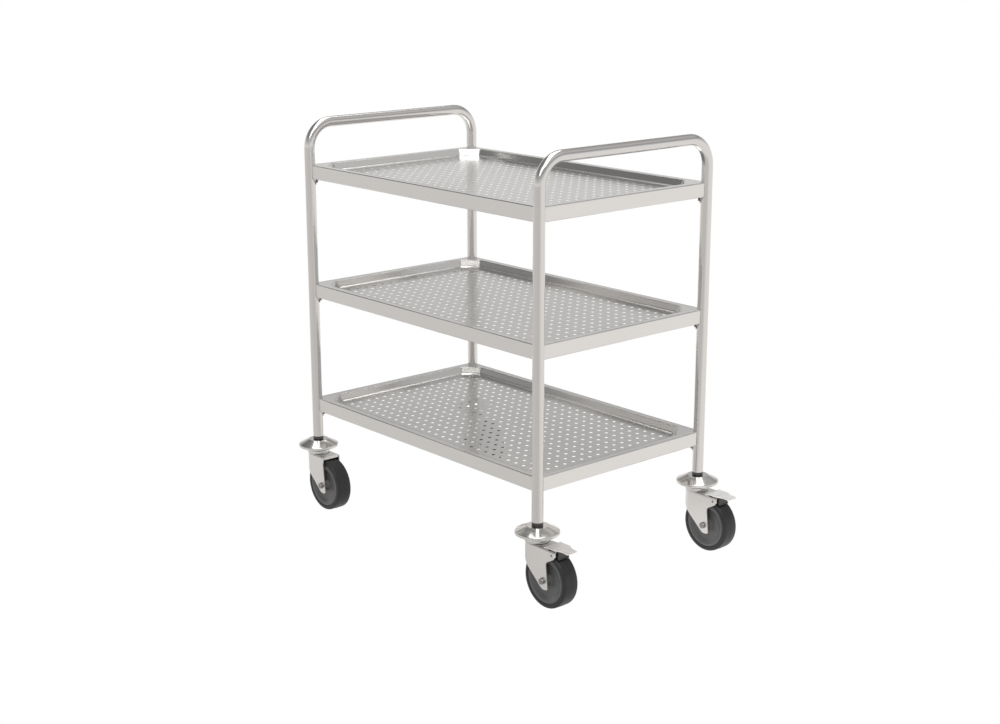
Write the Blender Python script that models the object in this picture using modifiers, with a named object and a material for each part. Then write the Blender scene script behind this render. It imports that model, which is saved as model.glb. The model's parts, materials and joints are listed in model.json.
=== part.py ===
"""Food service trolley: two bent-tube end frames, three pressed shelves and four swivel casters.

The long side runs along X and the short side along Y. The origin is on the floor, under the middle
of the whole trolley at rest. All four casters trail towards +X, and the two at the +X end have brakes.
"""
from math import atan2, cos, pi, radians, sin, sqrt, tan

import bmesh
import bpy
from mathutils import Matrix, Vector

MM = 0.001
FIT = 0.3 * MM                   # gap between two pieces that touch
EPS = 1.0 * MM                   # how far a cutter runs past the face it opens

# ---- Overall sizes ----
POST_SPACING_X = 797 * MM        # centre to centre of the posts, along the trolley
POST_SPACING_Y = 496 * MM        # centre to centre of the posts, across it
HEIGHT = 950 * MM                # floor to the top of the handles

# ---- End frames ----
TUBE_RADIUS = 12.5 * MM
TUBE_WALL = 1.5 * MM
BEND_RADIUS = 60 * MM            # of the tube's centre line
BEND_STEPS = 5
TUBE_SIDES = 12                  # even

# ---- Shelves ----
SHELF_ABOVE_FOOT = 64.7 * MM     # lowest apron's lower edge above the tubes' feet
SHELF_PITCH = 284.2 * MM
SHELF_OVERHANG_X = 4.5 * MM      # apron beyond the post's centre line
SHELF_OVERHANG_Y = 3.5 * MM
SHEET = 1.2 * MM
APRON_HEIGHT = 32 * MM
RIM_WIDTH = 19 * MM
BASIN_DEPTH = 15 * MM
BASIN_SLOPE = 9 * MM             # how far the wall's foot lies inside its top edge
BASIN_CORNER_LEG = 40 * MM
BASIN_CORNER_RADIUS = 12 * MM

# ---- Saddles welded into the shelves' corners, and their bolts ----
SADDLE_WALL = 2.1 * MM
SADDLE_HALF_ANGLE = radians(56)
WELD_HALF_ANGLE = radians(50)
WELD_REACH = 1 * MM              # corner bite beyond the saddle, filled by the weld
WELD_LAP = 0.4 * MM
SADDLE_DROP = 14.5 * MM          # below the apron
SADDLE_BOLT_DROP = 6 * MM        # bolt's centre below the apron
SADDLE_BOLT_RADIUS = 3 * MM
SADDLE_BOLT_HEAD = 3.6 * MM
SADDLE_BOLT_HEX = 8 * MM          # across the head's flats
SADDLE_BOLT_INSIDE = 5 * MM      # shank beyond the tube's inner wall

# ---- Wheels ----
WHEEL_RADIUS = 62.5 * MM
WHEEL_WIDTH = 38.7 * MM
TYRE_THICKNESS = 11 * MM
TYRE_EDGE = 4 * MM
TYRE_CHAMFER = 1.2 * MM
RIM_LIP = 4.5 * MM               # raised ring of the core, beside the tyre
RIM_INSET = 0.8 * MM             # ring's face inside the tyre's face
DISH_WIDTH = 5.4 * MM            # slope from the ring down to the web
DISH_STEP = 1 * MM
WEB_HALF_WIDTH = 12.5 * MM
HUB_RADIUS = 14 * MM
HUB_TAPER = 2 * MM
HUB_CLEAR = 1 * MM               # hub's end face to the fork leg
SLEEVE_RADIUS = 7.2 * MM
AXLE_RADIUS = 4 * MM

# ---- Forks ----
WHEEL_AHEAD = 18.7 * MM          # tyre's front ahead of the swivel axis
LEG_CLEAR = 3.15 * MM            # tyre's face to the fork leg
FORK_PLATE = 3 * MM
TYRE_TO_CROWN = 6 * MM           # wheel's top to the underside of the crown
CROWN_PAST_AXLE = 7.2 * MM       # axle to the crown's trailing edge
CROWN_LIP = 3.5 * MM             # turned-down lip of a fork with no brake
FOOT_RADIUS = 18.5 * MM          # round foot of each leg
FOOT_SETBACK = 5 * MM            # foot's centre behind the axle
FOOT_ARC = (radians(222), radians(305))
LEG_FLARE = 2.8 * MM             # trailing edge leans back below the crown by this
LEG_FLARE_DROP = 32 * MM
LEG_SHOULDER_RISE = 44 * MM      # leading edge's three bends, above the axle
LEG_WAIST_RISE = 31.5 * MM
LEG_BEND_RISE = 18.5 * MM
LEG_BEND_BEHIND = 0.4 * MM       # lowest of the three bends, behind the swivel axis
NUT_HEIGHT = 6.5 * MM
BOLT_HEAD_HEIGHT = 5.3 * MM
HEX_ACROSS = 13 * MM
BOLT_PAST_NUT = 2 * MM

# ---- Brake ----
BRAKE_PIN_RADIUS = 2.5 * MM
BRAKE_PIN_BEYOND_TYRE = 6.5 * MM
BRAKE_PIN_ANGLE = radians(67.3)  # about the axle, above the floor
EAR_RADIUS = 9.5 * MM
EAR_ARC = (radians(-58), radians(72))
EAR_FILLET = 10 * MM             # round inner corner between the leg and the ear
EAR_FILLET_DROP = 26 * MM        # fillet's centre below the pin
EAR_FILLET_END = radians(112)
PEDAL_REACH = 107 * MM           # swivel axis to the pedal's tip
PEDAL_LAP = 3.5 * MM             # pedal's rear edge over the crown
PEDAL_PLATE = 2 * MM
PEDAL_CLEAR = 2.5 * MM           # crown's top to the pedal's underside
PEDAL_TIP_DROP = 1.8 * MM
PEDAL_FLAT = 12 * MM             # pin to the bend where the drop starts
PEDAL_CORNER = 3 * MM
PEDAL_EYE_WALL = 3 * MM          # cheek's metal round the pin
PEDAL_INSET = 0.5 * MM           # pedal's rear end inside the legs' outer faces
PEDAL_TIP_HALF = 14.5 * MM
PEDAL_TAPER_START = 0.30         # along the pedal, from its rear edge
PEDAL_TAPER_END = 0.66
PEDAL_CHEEK_GAP = 3.5 * MM       # fork leg to pedal cheek
SHOE_CLEAR = 3.2 * MM            # tyre to brake shoe
SHOE_PLATE = 2.5 * MM
SHOE_HALF_WIDTH = 14.5 * MM
SHOE_ARC = (radians(62.5), radians(54.5))
SHOE_RISER_ARC = (radians(60), radians(57))

# ---- Swivel heads, stems and bumpers ----
RACE_GAP = 0.5 * MM
CAP_RADIUS = 27 * MM
CAP_HEIGHT = 10 * MM
CAP_DOME = 3.5 * MM
NECK_RADIUS = 14 * MM
KINGPIN_RADIUS = 8 * MM
KINGPIN_HEAD_RADIUS = 12 * MM
KINGPIN_HEAD = 5 * MM
KINGPIN_TAPER = 2 * MM
STEM_RADIUS = 5 * MM
STEM_IN_TUBE = 44 * MM
BUMPER_RADIUS = 48 * MM
BUMPER_TOP_RADIUS = 24 * MM      # flat top that the post's collar stands on
BUMPER_SHEET = 2 * MM
BUMPER_RISE = 11 * MM            # flat top above the rim's shoulder
BUMPER_EDGE = 1.5 * MM
BUMPER_LIP = 6.5 * MM
BUMPER_ABOVE_CAP = 21.5 * MM     # cap's top edge to the underside of the flat top
COLLAR_HEIGHT = 7 * MM
EXPANDER_IN_TUBE = 48 * MM
PLUG_TAPER = 1 * MM

# ---- Steps round turned pieces ----
WHEEL_STEPS = 24                 # multiples of four put a corner at each side, top and bottom
BUMPER_STEPS = 24
HEAD_STEPS = 16
SMALL_STEPS = 8
CORNER_STEPS = 5                 # round bites, saddles and fork fronts take multiples of this
TAPER_STEPS = 5

# ---- Worked out from the sizes above ----
CENTRE_X = (BUMPER_RADIUS - PEDAL_REACH) / 2       # puts the origin under the middle
HALF_X = POST_SPACING_X / 2
HALF_Y = POST_SPACING_Y / 2
FORK_INNER = WHEEL_WIDTH / 2 + LEG_CLEAR
FORK_OUTER = FORK_INNER + FORK_PLATE
PEDAL_REAR_HALF = FORK_OUTER - PEDAL_INSET
TRAIL = WHEEL_RADIUS - WHEEL_AHEAD
CROWN_REACH = TRAIL + CROWN_PAST_AXLE
AXLE_Z = WHEEL_RADIUS
CROWN_Z = 2 * WHEEL_RADIUS + TYRE_TO_CROWN         # underside of the crown plate
CROWN_TOP_Z = CROWN_Z + FORK_PLATE
CAP_Z = CROWN_TOP_Z + RACE_GAP
BUMPER_TOP_Z = CAP_Z + CAP_HEIGHT + BUMPER_ABOVE_CAP + BUMPER_SHEET
COLLAR_Z = BUMPER_TOP_Z + FIT
TUBE_END_Z = COLLAR_Z + COLLAR_HEIGHT + FIT
SHELF_BOTTOM_Z = TUBE_END_Z + SHELF_ABOVE_FOOT
BAR_Z = HEIGHT - TUBE_RADIUS
PIN_DISTANCE = WHEEL_RADIUS + BRAKE_PIN_BEYOND_TYRE
PIN_X = TRAIL + PIN_DISTANCE * cos(BRAKE_PIN_ANGLE)
PIN_Z = AXLE_Z + PIN_DISTANCE * sin(BRAKE_PIN_ANGLE)
SADDLE_RADIUS = TUBE_RADIUS + FIT + SADDLE_WALL
NOTCH_RADIUS = SADDLE_RADIUS + WELD_REACH

COLOURS = {                      # colour, metallic, roughness
    "polished_tube": ((0.66, 0.65, 0.63), 1.0, 0.22),
    "shelf_sheet": ((0.72, 0.71, 0.69), 1.0, 0.34),
    "plated_steel": ((0.74, 0.74, 0.73), 1.0, 0.38),
    "bumper_steel": ((0.70, 0.69, 0.67), 1.0, 0.20),
    "black_plastic": ((0.05, 0.05, 0.05), 0.0, 0.45),
    "grey_rubber": ((0.035, 0.035, 0.037), 0.0, 0.62),
    "grey_core": ((0.10, 0.10, 0.105), 0.0, 0.50),
}


def clear_scene():
    for old in list(bpy.data.objects):
        bpy.data.objects.remove(old, do_unlink=True)


def collection(name):
    made = bpy.data.collections.new(name)
    bpy.context.scene.collection.children.link(made)
    return made


def material(name):
    if name in bpy.data.materials:
        return bpy.data.materials[name]
    colour, metallic, roughness = COLOURS[name]
    made = bpy.data.materials.new(name)
    made.use_nodes = True
    shader = made.node_tree.nodes["Principled BSDF"]
    shader.inputs["Base Color"].default_value = (*colour, 1)
    shader.inputs["Metallic"].default_value = metallic
    shader.inputs["Roughness"].default_value = roughness
    return made


clear_scene()
TROLLEY = collection("food_service_trolley")
CUTTERS = collection("cutters")


def place(name, mesh, finish, at=(0, 0, 0), turn=(0, 0, 0), parent=None):
    """Put a mesh in the trolley as the named sub-part."""
    part = bpy.data.objects.new(name, mesh)
    TROLLEY.objects.link(part)
    mesh.materials.clear()
    mesh.materials.append(material(finish))
    mesh.shade_smooth()
    mesh.set_sharp_from_angle(angle=radians(32))
    part.location = at
    part.rotation_euler = turn
    part.parent = parent
    return part


def empty(name, at, parent=None):
    """An axis that other pieces hang on."""
    axis = bpy.data.objects.new(name, None)
    TROLLEY.objects.link(axis)
    axis.empty_display_size = 0.02
    axis.location = at
    axis.parent = parent
    return axis


# ---- Shapes ----
def evaluated_mesh(obj):
    """The object's mesh with its modifiers applied; the object is removed."""
    bpy.context.view_layer.update()
    graph = bpy.context.evaluated_depsgraph_get()
    mesh = bpy.data.meshes.new_from_object(obj.evaluated_get(graph))
    bpy.data.objects.remove(obj, do_unlink=True)
    return mesh


def welded(mesh):
    shape = bmesh.new()
    shape.from_mesh(mesh)
    bmesh.ops.remove_doubles(shape, verts=shape.verts, dist=0.001 * MM)
    bmesh.ops.recalc_face_normals(shape, faces=shape.faces)
    shape.to_mesh(mesh)
    shape.free()
    return mesh


def scratch_object(mesh_or_curve):
    obj = bpy.data.objects.new("shape", mesh_or_curve)
    CUTTERS.objects.link(obj)
    obj.display_type = "WIRE"
    obj.hide_render = True
    return obj


def moved(mesh, at=(0, 0, 0), turn=None):
    """The same mesh, turned and then moved."""
    matrix = Matrix.Translation(Vector(at))
    if turn:
        matrix = matrix @ turn
    mesh.transform(matrix)
    return mesh


def slab(outline, low, high):
    """A flat outline in XY, as a solid between two heights."""
    curve = bpy.data.curves.new("outline", "CURVE")
    curve.dimensions = "2D"
    curve.fill_mode = "BOTH"
    curve.extrude = (high - low) / 2
    spline = curve.splines.new("POLY")
    spline.points.add(len(outline) - 1)
    for point, (x, y) in zip(spline.points, outline):
        point.co = (x, y, 0, 1)
    spline.use_cyclic_u = True
    mesh = welded(evaluated_mesh(scratch_object(curve)))
    return moved(mesh, (0, 0, (low + high) / 2))


def side_slab(outline, low, high):
    """The same, for an outline in XZ that is extruded along Y."""
    return moved(slab(outline, -high, -low), turn=Matrix.Rotation(pi / 2, 4, "X"))


def cylinder(radius, low, high, steps=SMALL_STEPS):
    """A closed cylinder, or hexagon at six steps, along Z."""
    shape = bmesh.new()
    bmesh.ops.create_cone(shape, cap_ends=True, segments=steps, radius1=radius, radius2=radius,
                          depth=high - low)
    bmesh.ops.translate(shape, verts=shape.verts, vec=(0, 0, (low + high) / 2))
    mesh = bpy.data.meshes.new("cylinder")
    shape.to_mesh(mesh)
    shape.free()
    return mesh


def combined(base, *steps):
    """Booleans in order; each step is an operation and the mesh that it uses."""
    body = scratch_object(base)
    tools = []
    for operation, mesh in steps:
        tool = scratch_object(mesh)
        change = body.modifiers.new(operation, "BOOLEAN")
        change.operation = operation
        change.solver = "EXACT"
        change.object = tool
        tools.append(tool)
    mesh = evaluated_mesh(body)
    for tool in tools:
        bpy.data.objects.remove(tool, do_unlink=True)
    return welded(mesh)


def turned(profile, steps, closed=True):
    """A profile of (radius, height) points, down its outer side, turned about Z."""
    mesh = bpy.data.meshes.new("profile")
    edges = [(i, i + 1) for i in range(len(profile) - 1)]
    if closed:
        edges.append((len(profile) - 1, 0))
    mesh.from_pydata([(r, 0, z) for r, z in profile], edges, [])
    obj = scratch_object(mesh)
    screw = obj.modifiers.new("turn", "SCREW")
    screw.axis = "Z"
    screw.steps = steps
    screw.render_steps = steps
    screw.use_merge_vertices = True
    screw.merge_threshold = 0.001 * MM
    return welded(evaluated_mesh(obj))


def arc(centre, radius, start, end, steps):
    """Points round an arc, both ends included."""
    return [(centre[0] + radius * cos(start + (end - start) * i / steps),
             centre[1] + radius * sin(start + (end - start) * i / steps)) for i in range(steps + 1)]


def joined(meshes):
    """Separate solids in one mesh."""
    shape = bmesh.new()
    for mesh in meshes:
        shape.from_mesh(mesh)
    made = bpy.data.meshes.new("group")
    shape.to_mesh(made)
    shape.free()
    return made


def hex_bolt(radius, head_across, head_height, length):
    """Shank along +Z from the head's bearing face at the origin; the head is below it."""
    head = cylinder(head_across / sqrt(3), -head_height, 0, 6)
    return combined(head, ("UNION", cylinder(radius, -head_height / 2, length)))


# ---- End frames and shelves ----
def post_positions():
    for end, sx in (("left", -1), ("right", 1)):
        for side, sy in (("front", -1), ("back", 1)):
            yield f"{side}_{end}", CENTRE_X + sx * HALF_X, sy * HALF_Y, sx, sy


def shelf_levels():
    for i, level in enumerate(("bottom", "middle", "top")):
        yield level, SHELF_BOTTOM_Z + i * SHELF_PITCH


def inward_turn(sx, sy):
    """Turns +X towards the trolley's middle, along the corner's diagonal."""
    return Matrix.Rotation(atan2(-sy, -sx), 4, "Z")


def saddle_bolt_cutter(sx, sy, x, y, apron_z):
    """A hole from inside the post, out through its wall and the saddle."""
    hole = cylinder(SADDLE_BOLT_RADIUS + FIT, TUBE_RADIUS / 3, SADDLE_RADIUS + EPS)
    turn = inward_turn(sx, sy) @ Matrix.Rotation(pi / 2, 4, "Y")
    return moved(hole, (x, y, apron_z - SADDLE_BOLT_DROP), turn)


def end_frame(sx):
    """One bent tube: two posts and the handle bar, open at both feet."""
    turn_z = BAR_Z - BEND_RADIUS
    turn_y = HALF_Y - BEND_RADIUS
    path = [(-HALF_Y, TUBE_END_Z)]
    path += arc((-turn_y, turn_z), BEND_RADIUS, pi, pi / 2, BEND_STEPS)
    path += arc((turn_y, turn_z), BEND_RADIUS, pi / 2, 0, BEND_STEPS)
    path.append((HALF_Y, TUBE_END_Z))
    curve = bpy.data.curves.new("tube", "CURVE")
    curve.dimensions = "3D"
    curve.bevel_depth = TUBE_RADIUS
    curve.bevel_resolution = (TUBE_SIDES - 4) // 2     # a round bevel has 4 sides and 2 more a step
    spline = curve.splines.new("POLY")
    spline.points.add(len(path) - 1)
    for point, (y, z) in zip(spline.points, path):
        point.co = (0, y, z, 1)
    skin = moved(welded(evaluated_mesh(scratch_object(curve))), (CENTRE_X + sx * HALF_X, 0, 0))
    tube = scratch_object(skin)
    wall = tube.modifiers.new("wall", "SOLIDIFY")
    wall.thickness = TUBE_WALL
    wall.offset = -1
    holes = [saddle_bolt_cutter(px, py, x, y, z) for _, x, y, px, py in post_positions() if px == sx
             for _, z in shelf_levels()]
    return combined(evaluated_mesh(tube), ("DIFFERENCE", joined(holes)))


def notched_outline(half_x, half_y, notch):
    """A rectangle with a round bite at each corner, about the posts' centres."""
    points = []
    for sx, sy in ((1, 1), (-1, 1), (-1, -1), (1, -1)):
        edge_x = half_x - HALF_X
        edge_y = half_y - HALF_Y
        on_x = (edge_x, -sqrt(notch ** 2 - edge_x ** 2))
        on_y = (-sqrt(notch ** 2 - edge_y ** 2), edge_y)
        start = atan2(on_x[1], on_x[0])
        end = atan2(on_y[1], on_y[0]) - 2 * pi
        bite = arc((0, 0), notch, start, end, CORNER_STEPS)
        bite = [(sx * (HALF_X + x), sy * (HALF_Y + y)) for x, y in bite]
        points += bite if sx * sy > 0 else bite[::-1]
    return [(x + CENTRE_X, y) for x, y in points]


def cut_corner_outline(half_x, half_y, leg, radius, steps=2):
    """A rectangle with its corners cut at 45 degrees, and both ends of each cut rounded."""
    back = radius * tan(pi / 8)
    quarter = arc((half_x - radius, half_y - leg - back), radius, 0, pi / 4, steps)
    quarter += arc((half_x - leg - back, half_y - radius), radius, pi / 4, pi / 2, steps)
    points = []
    for sx, sy in ((1, 1), (-1, 1), (-1, -1), (1, -1)):
        corner = [(sx * x + CENTRE_X, sy * y) for x, y in quarter]
        points += corner if sx * sy > 0 else corner[::-1]
    return points


def lofted(loops):
    """A closed solid through loops of equal count, each a list of (x, y) and a height."""
    shape = bmesh.new()
    rings = [[shape.verts.new((x, y, z)) for x, y in points] for points, z in loops]
    for lower, upper in zip(rings, rings[1:]):
        count = len(lower)
        for i in range(count):
            shape.faces.new((lower[i], lower[(i + 1) % count], upper[(i + 1) % count], upper[i]))
    shape.faces.new(rings[0][::-1])
    shape.faces.new(rings[-1])
    bmesh.ops.recalc_face_normals(shape, faces=shape.faces)
    mesh = bpy.data.meshes.new("loft")
    shape.to_mesh(mesh)
    shape.free()
    return mesh


def basin(rim_z, grow, top_z):
    """The pressed basin's space, or with grow its outer skin."""
    half_x = HALF_X + SHELF_OVERHANG_X - RIM_WIDTH + grow
    half_y = HALF_Y + SHELF_OVERHANG_Y - RIM_WIDTH + grow
    mouth = cut_corner_outline(half_x, half_y, BASIN_CORNER_LEG, BASIN_CORNER_RADIUS)
    foot = cut_corner_outline(half_x - BASIN_SLOPE, half_y - BASIN_SLOPE, BASIN_CORNER_LEG,
                              BASIN_CORNER_RADIUS)
    return lofted([(foot, rim_z - BASIN_DEPTH - grow), (mouth, rim_z), (mouth, top_z)])


def corner_plate(inner, outer, half_angle, low, high):
    """A plate curved about the post, open away from it."""
    outline = arc((0, 0), outer, -half_angle, half_angle, CORNER_STEPS)
    outline += arc((0, 0), inner, half_angle, -half_angle, CORNER_STEPS)
    return slab(outline, low, high)


def saddles(apron_z):
    """The four curved plates that carry a shelf on the posts, with their welds."""
    top = apron_z + APRON_HEIGHT
    plates = []
    for _, x, y, sx, sy in post_positions():
        saddle = corner_plate(TUBE_RADIUS + FIT, SADDLE_RADIUS, SADDLE_HALF_ANGLE, apron_z - SADDLE_DROP, top)
        weld = corner_plate(SADDLE_RADIUS - WELD_LAP, NOTCH_RADIUS + WELD_LAP, WELD_HALF_ANGLE,
                            apron_z + SHEET, top - SHEET)
        both = moved(combined(saddle, ("UNION", weld)), (x, y, 0), inward_turn(sx, sy))
        plates.append(combined(both, ("DIFFERENCE", saddle_bolt_cutter(sx, sy, x, y, apron_z))))
    return joined(plates)


def shelf(apron_z):
    """A sheet tray: apron down all round, flat rim, a basin pressed into it and a saddle at each corner."""
    rim_z = apron_z + APRON_HEIGHT
    half_x = HALF_X + SHELF_OVERHANG_X
    half_y = HALF_Y + SHELF_OVERHANG_Y
    block = slab(notched_outline(half_x, half_y, NOTCH_RADIUS), apron_z, rim_z)
    under = slab(notched_outline(half_x - SHEET, half_y - SHEET, NOTCH_RADIUS + SHEET),
                 apron_z - EPS, rim_z - SHEET)
    under = combined(under, ("DIFFERENCE", basin(rim_z, SHEET, rim_z + EPS)))
    return combined(block, ("DIFFERENCE", under), ("DIFFERENCE", basin(rim_z, 0, rim_z + EPS)),
                    ("UNION", saddles(apron_z)))


def saddle_bolt(x, y, sx, sy, apron_z):
    """Head inside the saddle, shank through it into the post."""
    bearing = SADDLE_RADIUS + FIT
    length = bearing - TUBE_RADIUS + TUBE_WALL + SADDLE_BOLT_INSIDE
    bolt = hex_bolt(SADDLE_BOLT_RADIUS, SADDLE_BOLT_HEX, SADDLE_BOLT_HEAD, length)
    outward = Matrix.Translation((bearing, 0, 0)) @ Matrix.Rotation(-pi / 2, 4, "Y")
    return moved(bolt, (x, y, apron_z - SADDLE_BOLT_DROP), inward_turn(sx, sy) @ outward)


# ---- Casters: everything is measured from the post's axis and the floor ----
def swivel_head():
    """Stem, neck, race cap and riveted kingpin in one turned piece."""
    cap_top = CAP_Z + CAP_HEIGHT
    neck_top = BUMPER_TOP_Z - BUMPER_SHEET - FIT
    profile = [(0, TUBE_END_Z + STEM_IN_TUBE), (STEM_RADIUS, TUBE_END_Z + STEM_IN_TUBE),
               (STEM_RADIUS, neck_top), (NECK_RADIUS, neck_top), (NECK_RADIUS, cap_top + CAP_DOME),
               (CAP_RADIUS - CAP_DOME, cap_top), (CAP_RADIUS, cap_top - CAP_DOME), (CAP_RADIUS, CAP_Z),
               (KINGPIN_RADIUS, CAP_Z), (KINGPIN_RADIUS, CROWN_Z - FIT),
               (KINGPIN_HEAD_RADIUS, CROWN_Z - FIT),
               (KINGPIN_HEAD_RADIUS - KINGPIN_TAPER, CROWN_Z - KINGPIN_HEAD),
               (0, CROWN_Z - KINGPIN_HEAD)]
    return turned(profile, HEAD_STEPS, closed=False)


def bumper():
    """A deflector disc: flat top, conical sides and a short turned-down lip."""
    rim_z = BUMPER_TOP_Z - BUMPER_RISE
    bore = STEM_RADIUS + FIT
    inner = BUMPER_RADIUS - BUMPER_SHEET
    under_z = BUMPER_TOP_Z - BUMPER_SHEET
    profile = [(bore, BUMPER_TOP_Z), (BUMPER_TOP_RADIUS, BUMPER_TOP_Z), (BUMPER_RADIUS - BUMPER_EDGE, rim_z),
               (BUMPER_RADIUS, rim_z - BUMPER_EDGE), (BUMPER_RADIUS, rim_z - BUMPER_LIP),
               (inner, rim_z - BUMPER_LIP), (inner, rim_z - BUMPER_EDGE - BUMPER_SHEET),
               (BUMPER_TOP_RADIUS - BUMPER_SHEET / 2, under_z), (bore, under_z)]
    return turned(profile, BUMPER_STEPS)


def expander():
    """The plastic plug that grips inside the tube, with its collar below it."""
    bore = STEM_RADIUS + FIT
    plug = (TUBE_RADIUS - TUBE_WALL) * cos(pi / TUBE_SIDES) - FIT      # clear of the flats
    collar_top = COLLAR_Z + COLLAR_HEIGHT
    top = TUBE_END_Z + EXPANDER_IN_TUBE
    profile = [(bore, top), (plug - PLUG_TAPER, top), (plug, top - 2 * PLUG_TAPER), (plug, collar_top),
               (TUBE_RADIUS - FIT, collar_top), (TUBE_RADIUS - FIT, COLLAR_Z), (bore, COLLAR_Z)]
    return turned(profile, SMALL_STEPS + 2)


def fork_plan(half_width, reach):
    """Round at the front about the swivel axis, straight legs behind."""
    front = arc((0, 0), half_width, 3 * pi / 2, pi / 2, 2 * CORNER_STEPS)
    return front + [(reach, half_width), (reach, -half_width)]


def leg_outline(braked):
    """Side view of the fork: leading edge down to the foot, up the trailing edge, along the crown."""
    front = FORK_OUTER + EPS
    trailing_x = CROWN_REACH + LEG_FLARE
    points = [(-front, CROWN_TOP_Z + EPS), (-front, AXLE_Z + LEG_SHOULDER_RISE),
              (-FORK_OUTER / 2, AXLE_Z + LEG_WAIST_RISE), (LEG_BEND_BEHIND, AXLE_Z + LEG_BEND_RISE)]
    points += arc((TRAIL + FOOT_SETBACK, AXLE_Z), FOOT_RADIUS, *FOOT_ARC, 5)
    if braked:
        fillet = (trailing_x + EAR_FILLET, PIN_Z - EAR_FILLET_DROP)
        points += arc(fillet, EAR_FILLET, pi, EAR_FILLET_END, 4)
        points += arc((PIN_X, PIN_Z), EAR_RADIUS, *EAR_ARC, 7)
    else:
        points.append((trailing_x, CROWN_Z - LEG_FLARE_DROP))
    return points + [(CROWN_REACH, CROWN_TOP_Z + EPS)]


def fork_hollow(braked, reach, low):
    """The space between the legs: up to the crown and its lip, and right up behind them."""
    lip_z = CROWN_Z - (0 if braked else CROWN_LIP)      # a fork with a brake has no lip
    between = slab(fork_plan(FORK_INNER, reach + EPS), low - EPS, CROWN_TOP_Z + EPS)
    front, back, bottom = -FORK_OUTER, reach + 2 * EPS, low - 2 * EPS
    stepped = [(front, bottom), (back, bottom), (back, CROWN_TOP_Z + 2 * EPS),
               (CROWN_REACH, CROWN_TOP_Z + 2 * EPS), (CROWN_REACH, lip_z)]
    if not braked:
        stepped += [(CROWN_REACH - FORK_PLATE, lip_z), (CROWN_REACH - FORK_PLATE, CROWN_Z)]
    stepped.append((front, CROWN_Z))
    return combined(between, ("INTERSECT", side_slab(stepped, -FORK_INNER - EPS, FORK_INNER + EPS)))


def fork(braked):
    """A pressed fork: crown plate, round front and two legs with holes for the axle."""
    reach = PIN_X + EAR_RADIUS + EPS
    low = AXLE_Z - FOOT_RADIUS - EPS
    outer = slab(fork_plan(FORK_OUTER, reach), low, CROWN_TOP_Z)
    sides = side_slab(leg_outline(braked), -FORK_OUTER - EPS, FORK_OUTER + EPS)
    across = Matrix.Rotation(pi / 2, 4, "X")
    holes = [moved(cylinder(AXLE_RADIUS + FIT, -2 * FORK_OUTER, 2 * FORK_OUTER), (TRAIL, 0, AXLE_Z), across),
             cylinder(KINGPIN_RADIUS + FIT, CROWN_Z - EPS, CROWN_TOP_Z + EPS, HEAD_STEPS)]
    if braked:
        holes.append(moved(cylinder(BRAKE_PIN_RADIUS + FIT, -2 * FORK_OUTER, 2 * FORK_OUTER),
                           (PIN_X, 0, PIN_Z), across))
    return combined(outer, ("DIFFERENCE", fork_hollow(braked, reach, low)), ("INTERSECT", sides),
                    ("DIFFERENCE", joined(holes)))


def tyre():
    """Rubber tread ring with rounded edges, about Z."""
    half = WHEEL_WIDTH / 2
    bore = WHEEL_RADIUS - TYRE_THICKNESS
    profile = [(bore, half - TYRE_CHAMFER), (WHEEL_RADIUS - TYRE_EDGE, half),
               (WHEEL_RADIUS - TYRE_CHAMFER, half - TYRE_CHAMFER), (WHEEL_RADIUS, half - TYRE_EDGE)]
    profile += [(r, -z) for r, z in reversed(profile)]
    return turned(profile, WHEEL_STEPS)


def wheel_core():
    """Moulded centre: raised rim, dished web and hub, bored for the sleeve."""
    rim = WHEEL_RADIUS - TYRE_THICKNESS - FIT
    half = WHEEL_WIDTH / 2 - RIM_INSET
    hub_half = FORK_INNER - HUB_CLEAR
    dish = rim - RIM_LIP - DISH_WIDTH
    profile = [(SLEEVE_RADIUS + FIT, hub_half), (HUB_RADIUS - HUB_TAPER, hub_half),
               (HUB_RADIUS, WEB_HALF_WIDTH), (dish, WEB_HALF_WIDTH + DISH_STEP), (rim - RIM_LIP, half),
               (rim, half)]
    profile += [(r, -z) for r, z in reversed(profile)]
    return turned(profile, WHEEL_STEPS)


def axle_sleeve():
    half = FORK_INNER - FIT
    inner = AXLE_RADIUS + FIT
    return turned([(inner, half), (SLEEVE_RADIUS, half), (SLEEVE_RADIUS, -half), (inner, -half)], SMALL_STEPS)


def axle_bolt():
    """Head at the front side, shank through both legs, sleeve and nut, along Z."""
    length = 2 * (FORK_OUTER + FIT) + NUT_HEIGHT + BOLT_PAST_NUT
    return hex_bolt(AXLE_RADIUS, HEX_ACROSS, BOLT_HEAD_HEIGHT, length)


def axle_nut():
    body = cylinder(HEX_ACROSS / sqrt(3), 0, NUT_HEIGHT, 6)
    return combined(body, ("DIFFERENCE", cylinder(AXLE_RADIUS + FIT, -EPS, NUT_HEIGHT + EPS)))


def pedal_outline():
    """Plan of the pedal, from the swivel axis: wide at the rear, then a narrower tread."""
    rear = CROWN_REACH - PEDAL_LAP
    length = PEDAL_REACH - rear
    rise = PEDAL_REAR_HALF - PEDAL_TIP_HALF
    side = [(rear, PEDAL_REAR_HALF)]
    for i in range(TAPER_STEPS + 1):
        share = i / TAPER_STEPS
        along = PEDAL_TAPER_START + (PEDAL_TAPER_END - PEDAL_TAPER_START) * share
        side.append((rear + length * along, PEDAL_TIP_HALF + rise * (1 + cos(pi * share)) / 2))
    side += arc((PEDAL_REACH - PEDAL_CORNER, PEDAL_TIP_HALF - PEDAL_CORNER), PEDAL_CORNER, pi / 2, 0, 3)
    return side + [(x, -y) for x, y in reversed(side)]


def pedal_underside(x):
    """Height of the pedal's underside: level over the fork, then falling to the tip."""
    bend = PIN_X + PEDAL_FLAT
    fall = PEDAL_TIP_DROP * max(0, x - bend) / (PEDAL_REACH - bend)
    return CROWN_TOP_Z + PEDAL_CLEAR - fall


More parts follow.
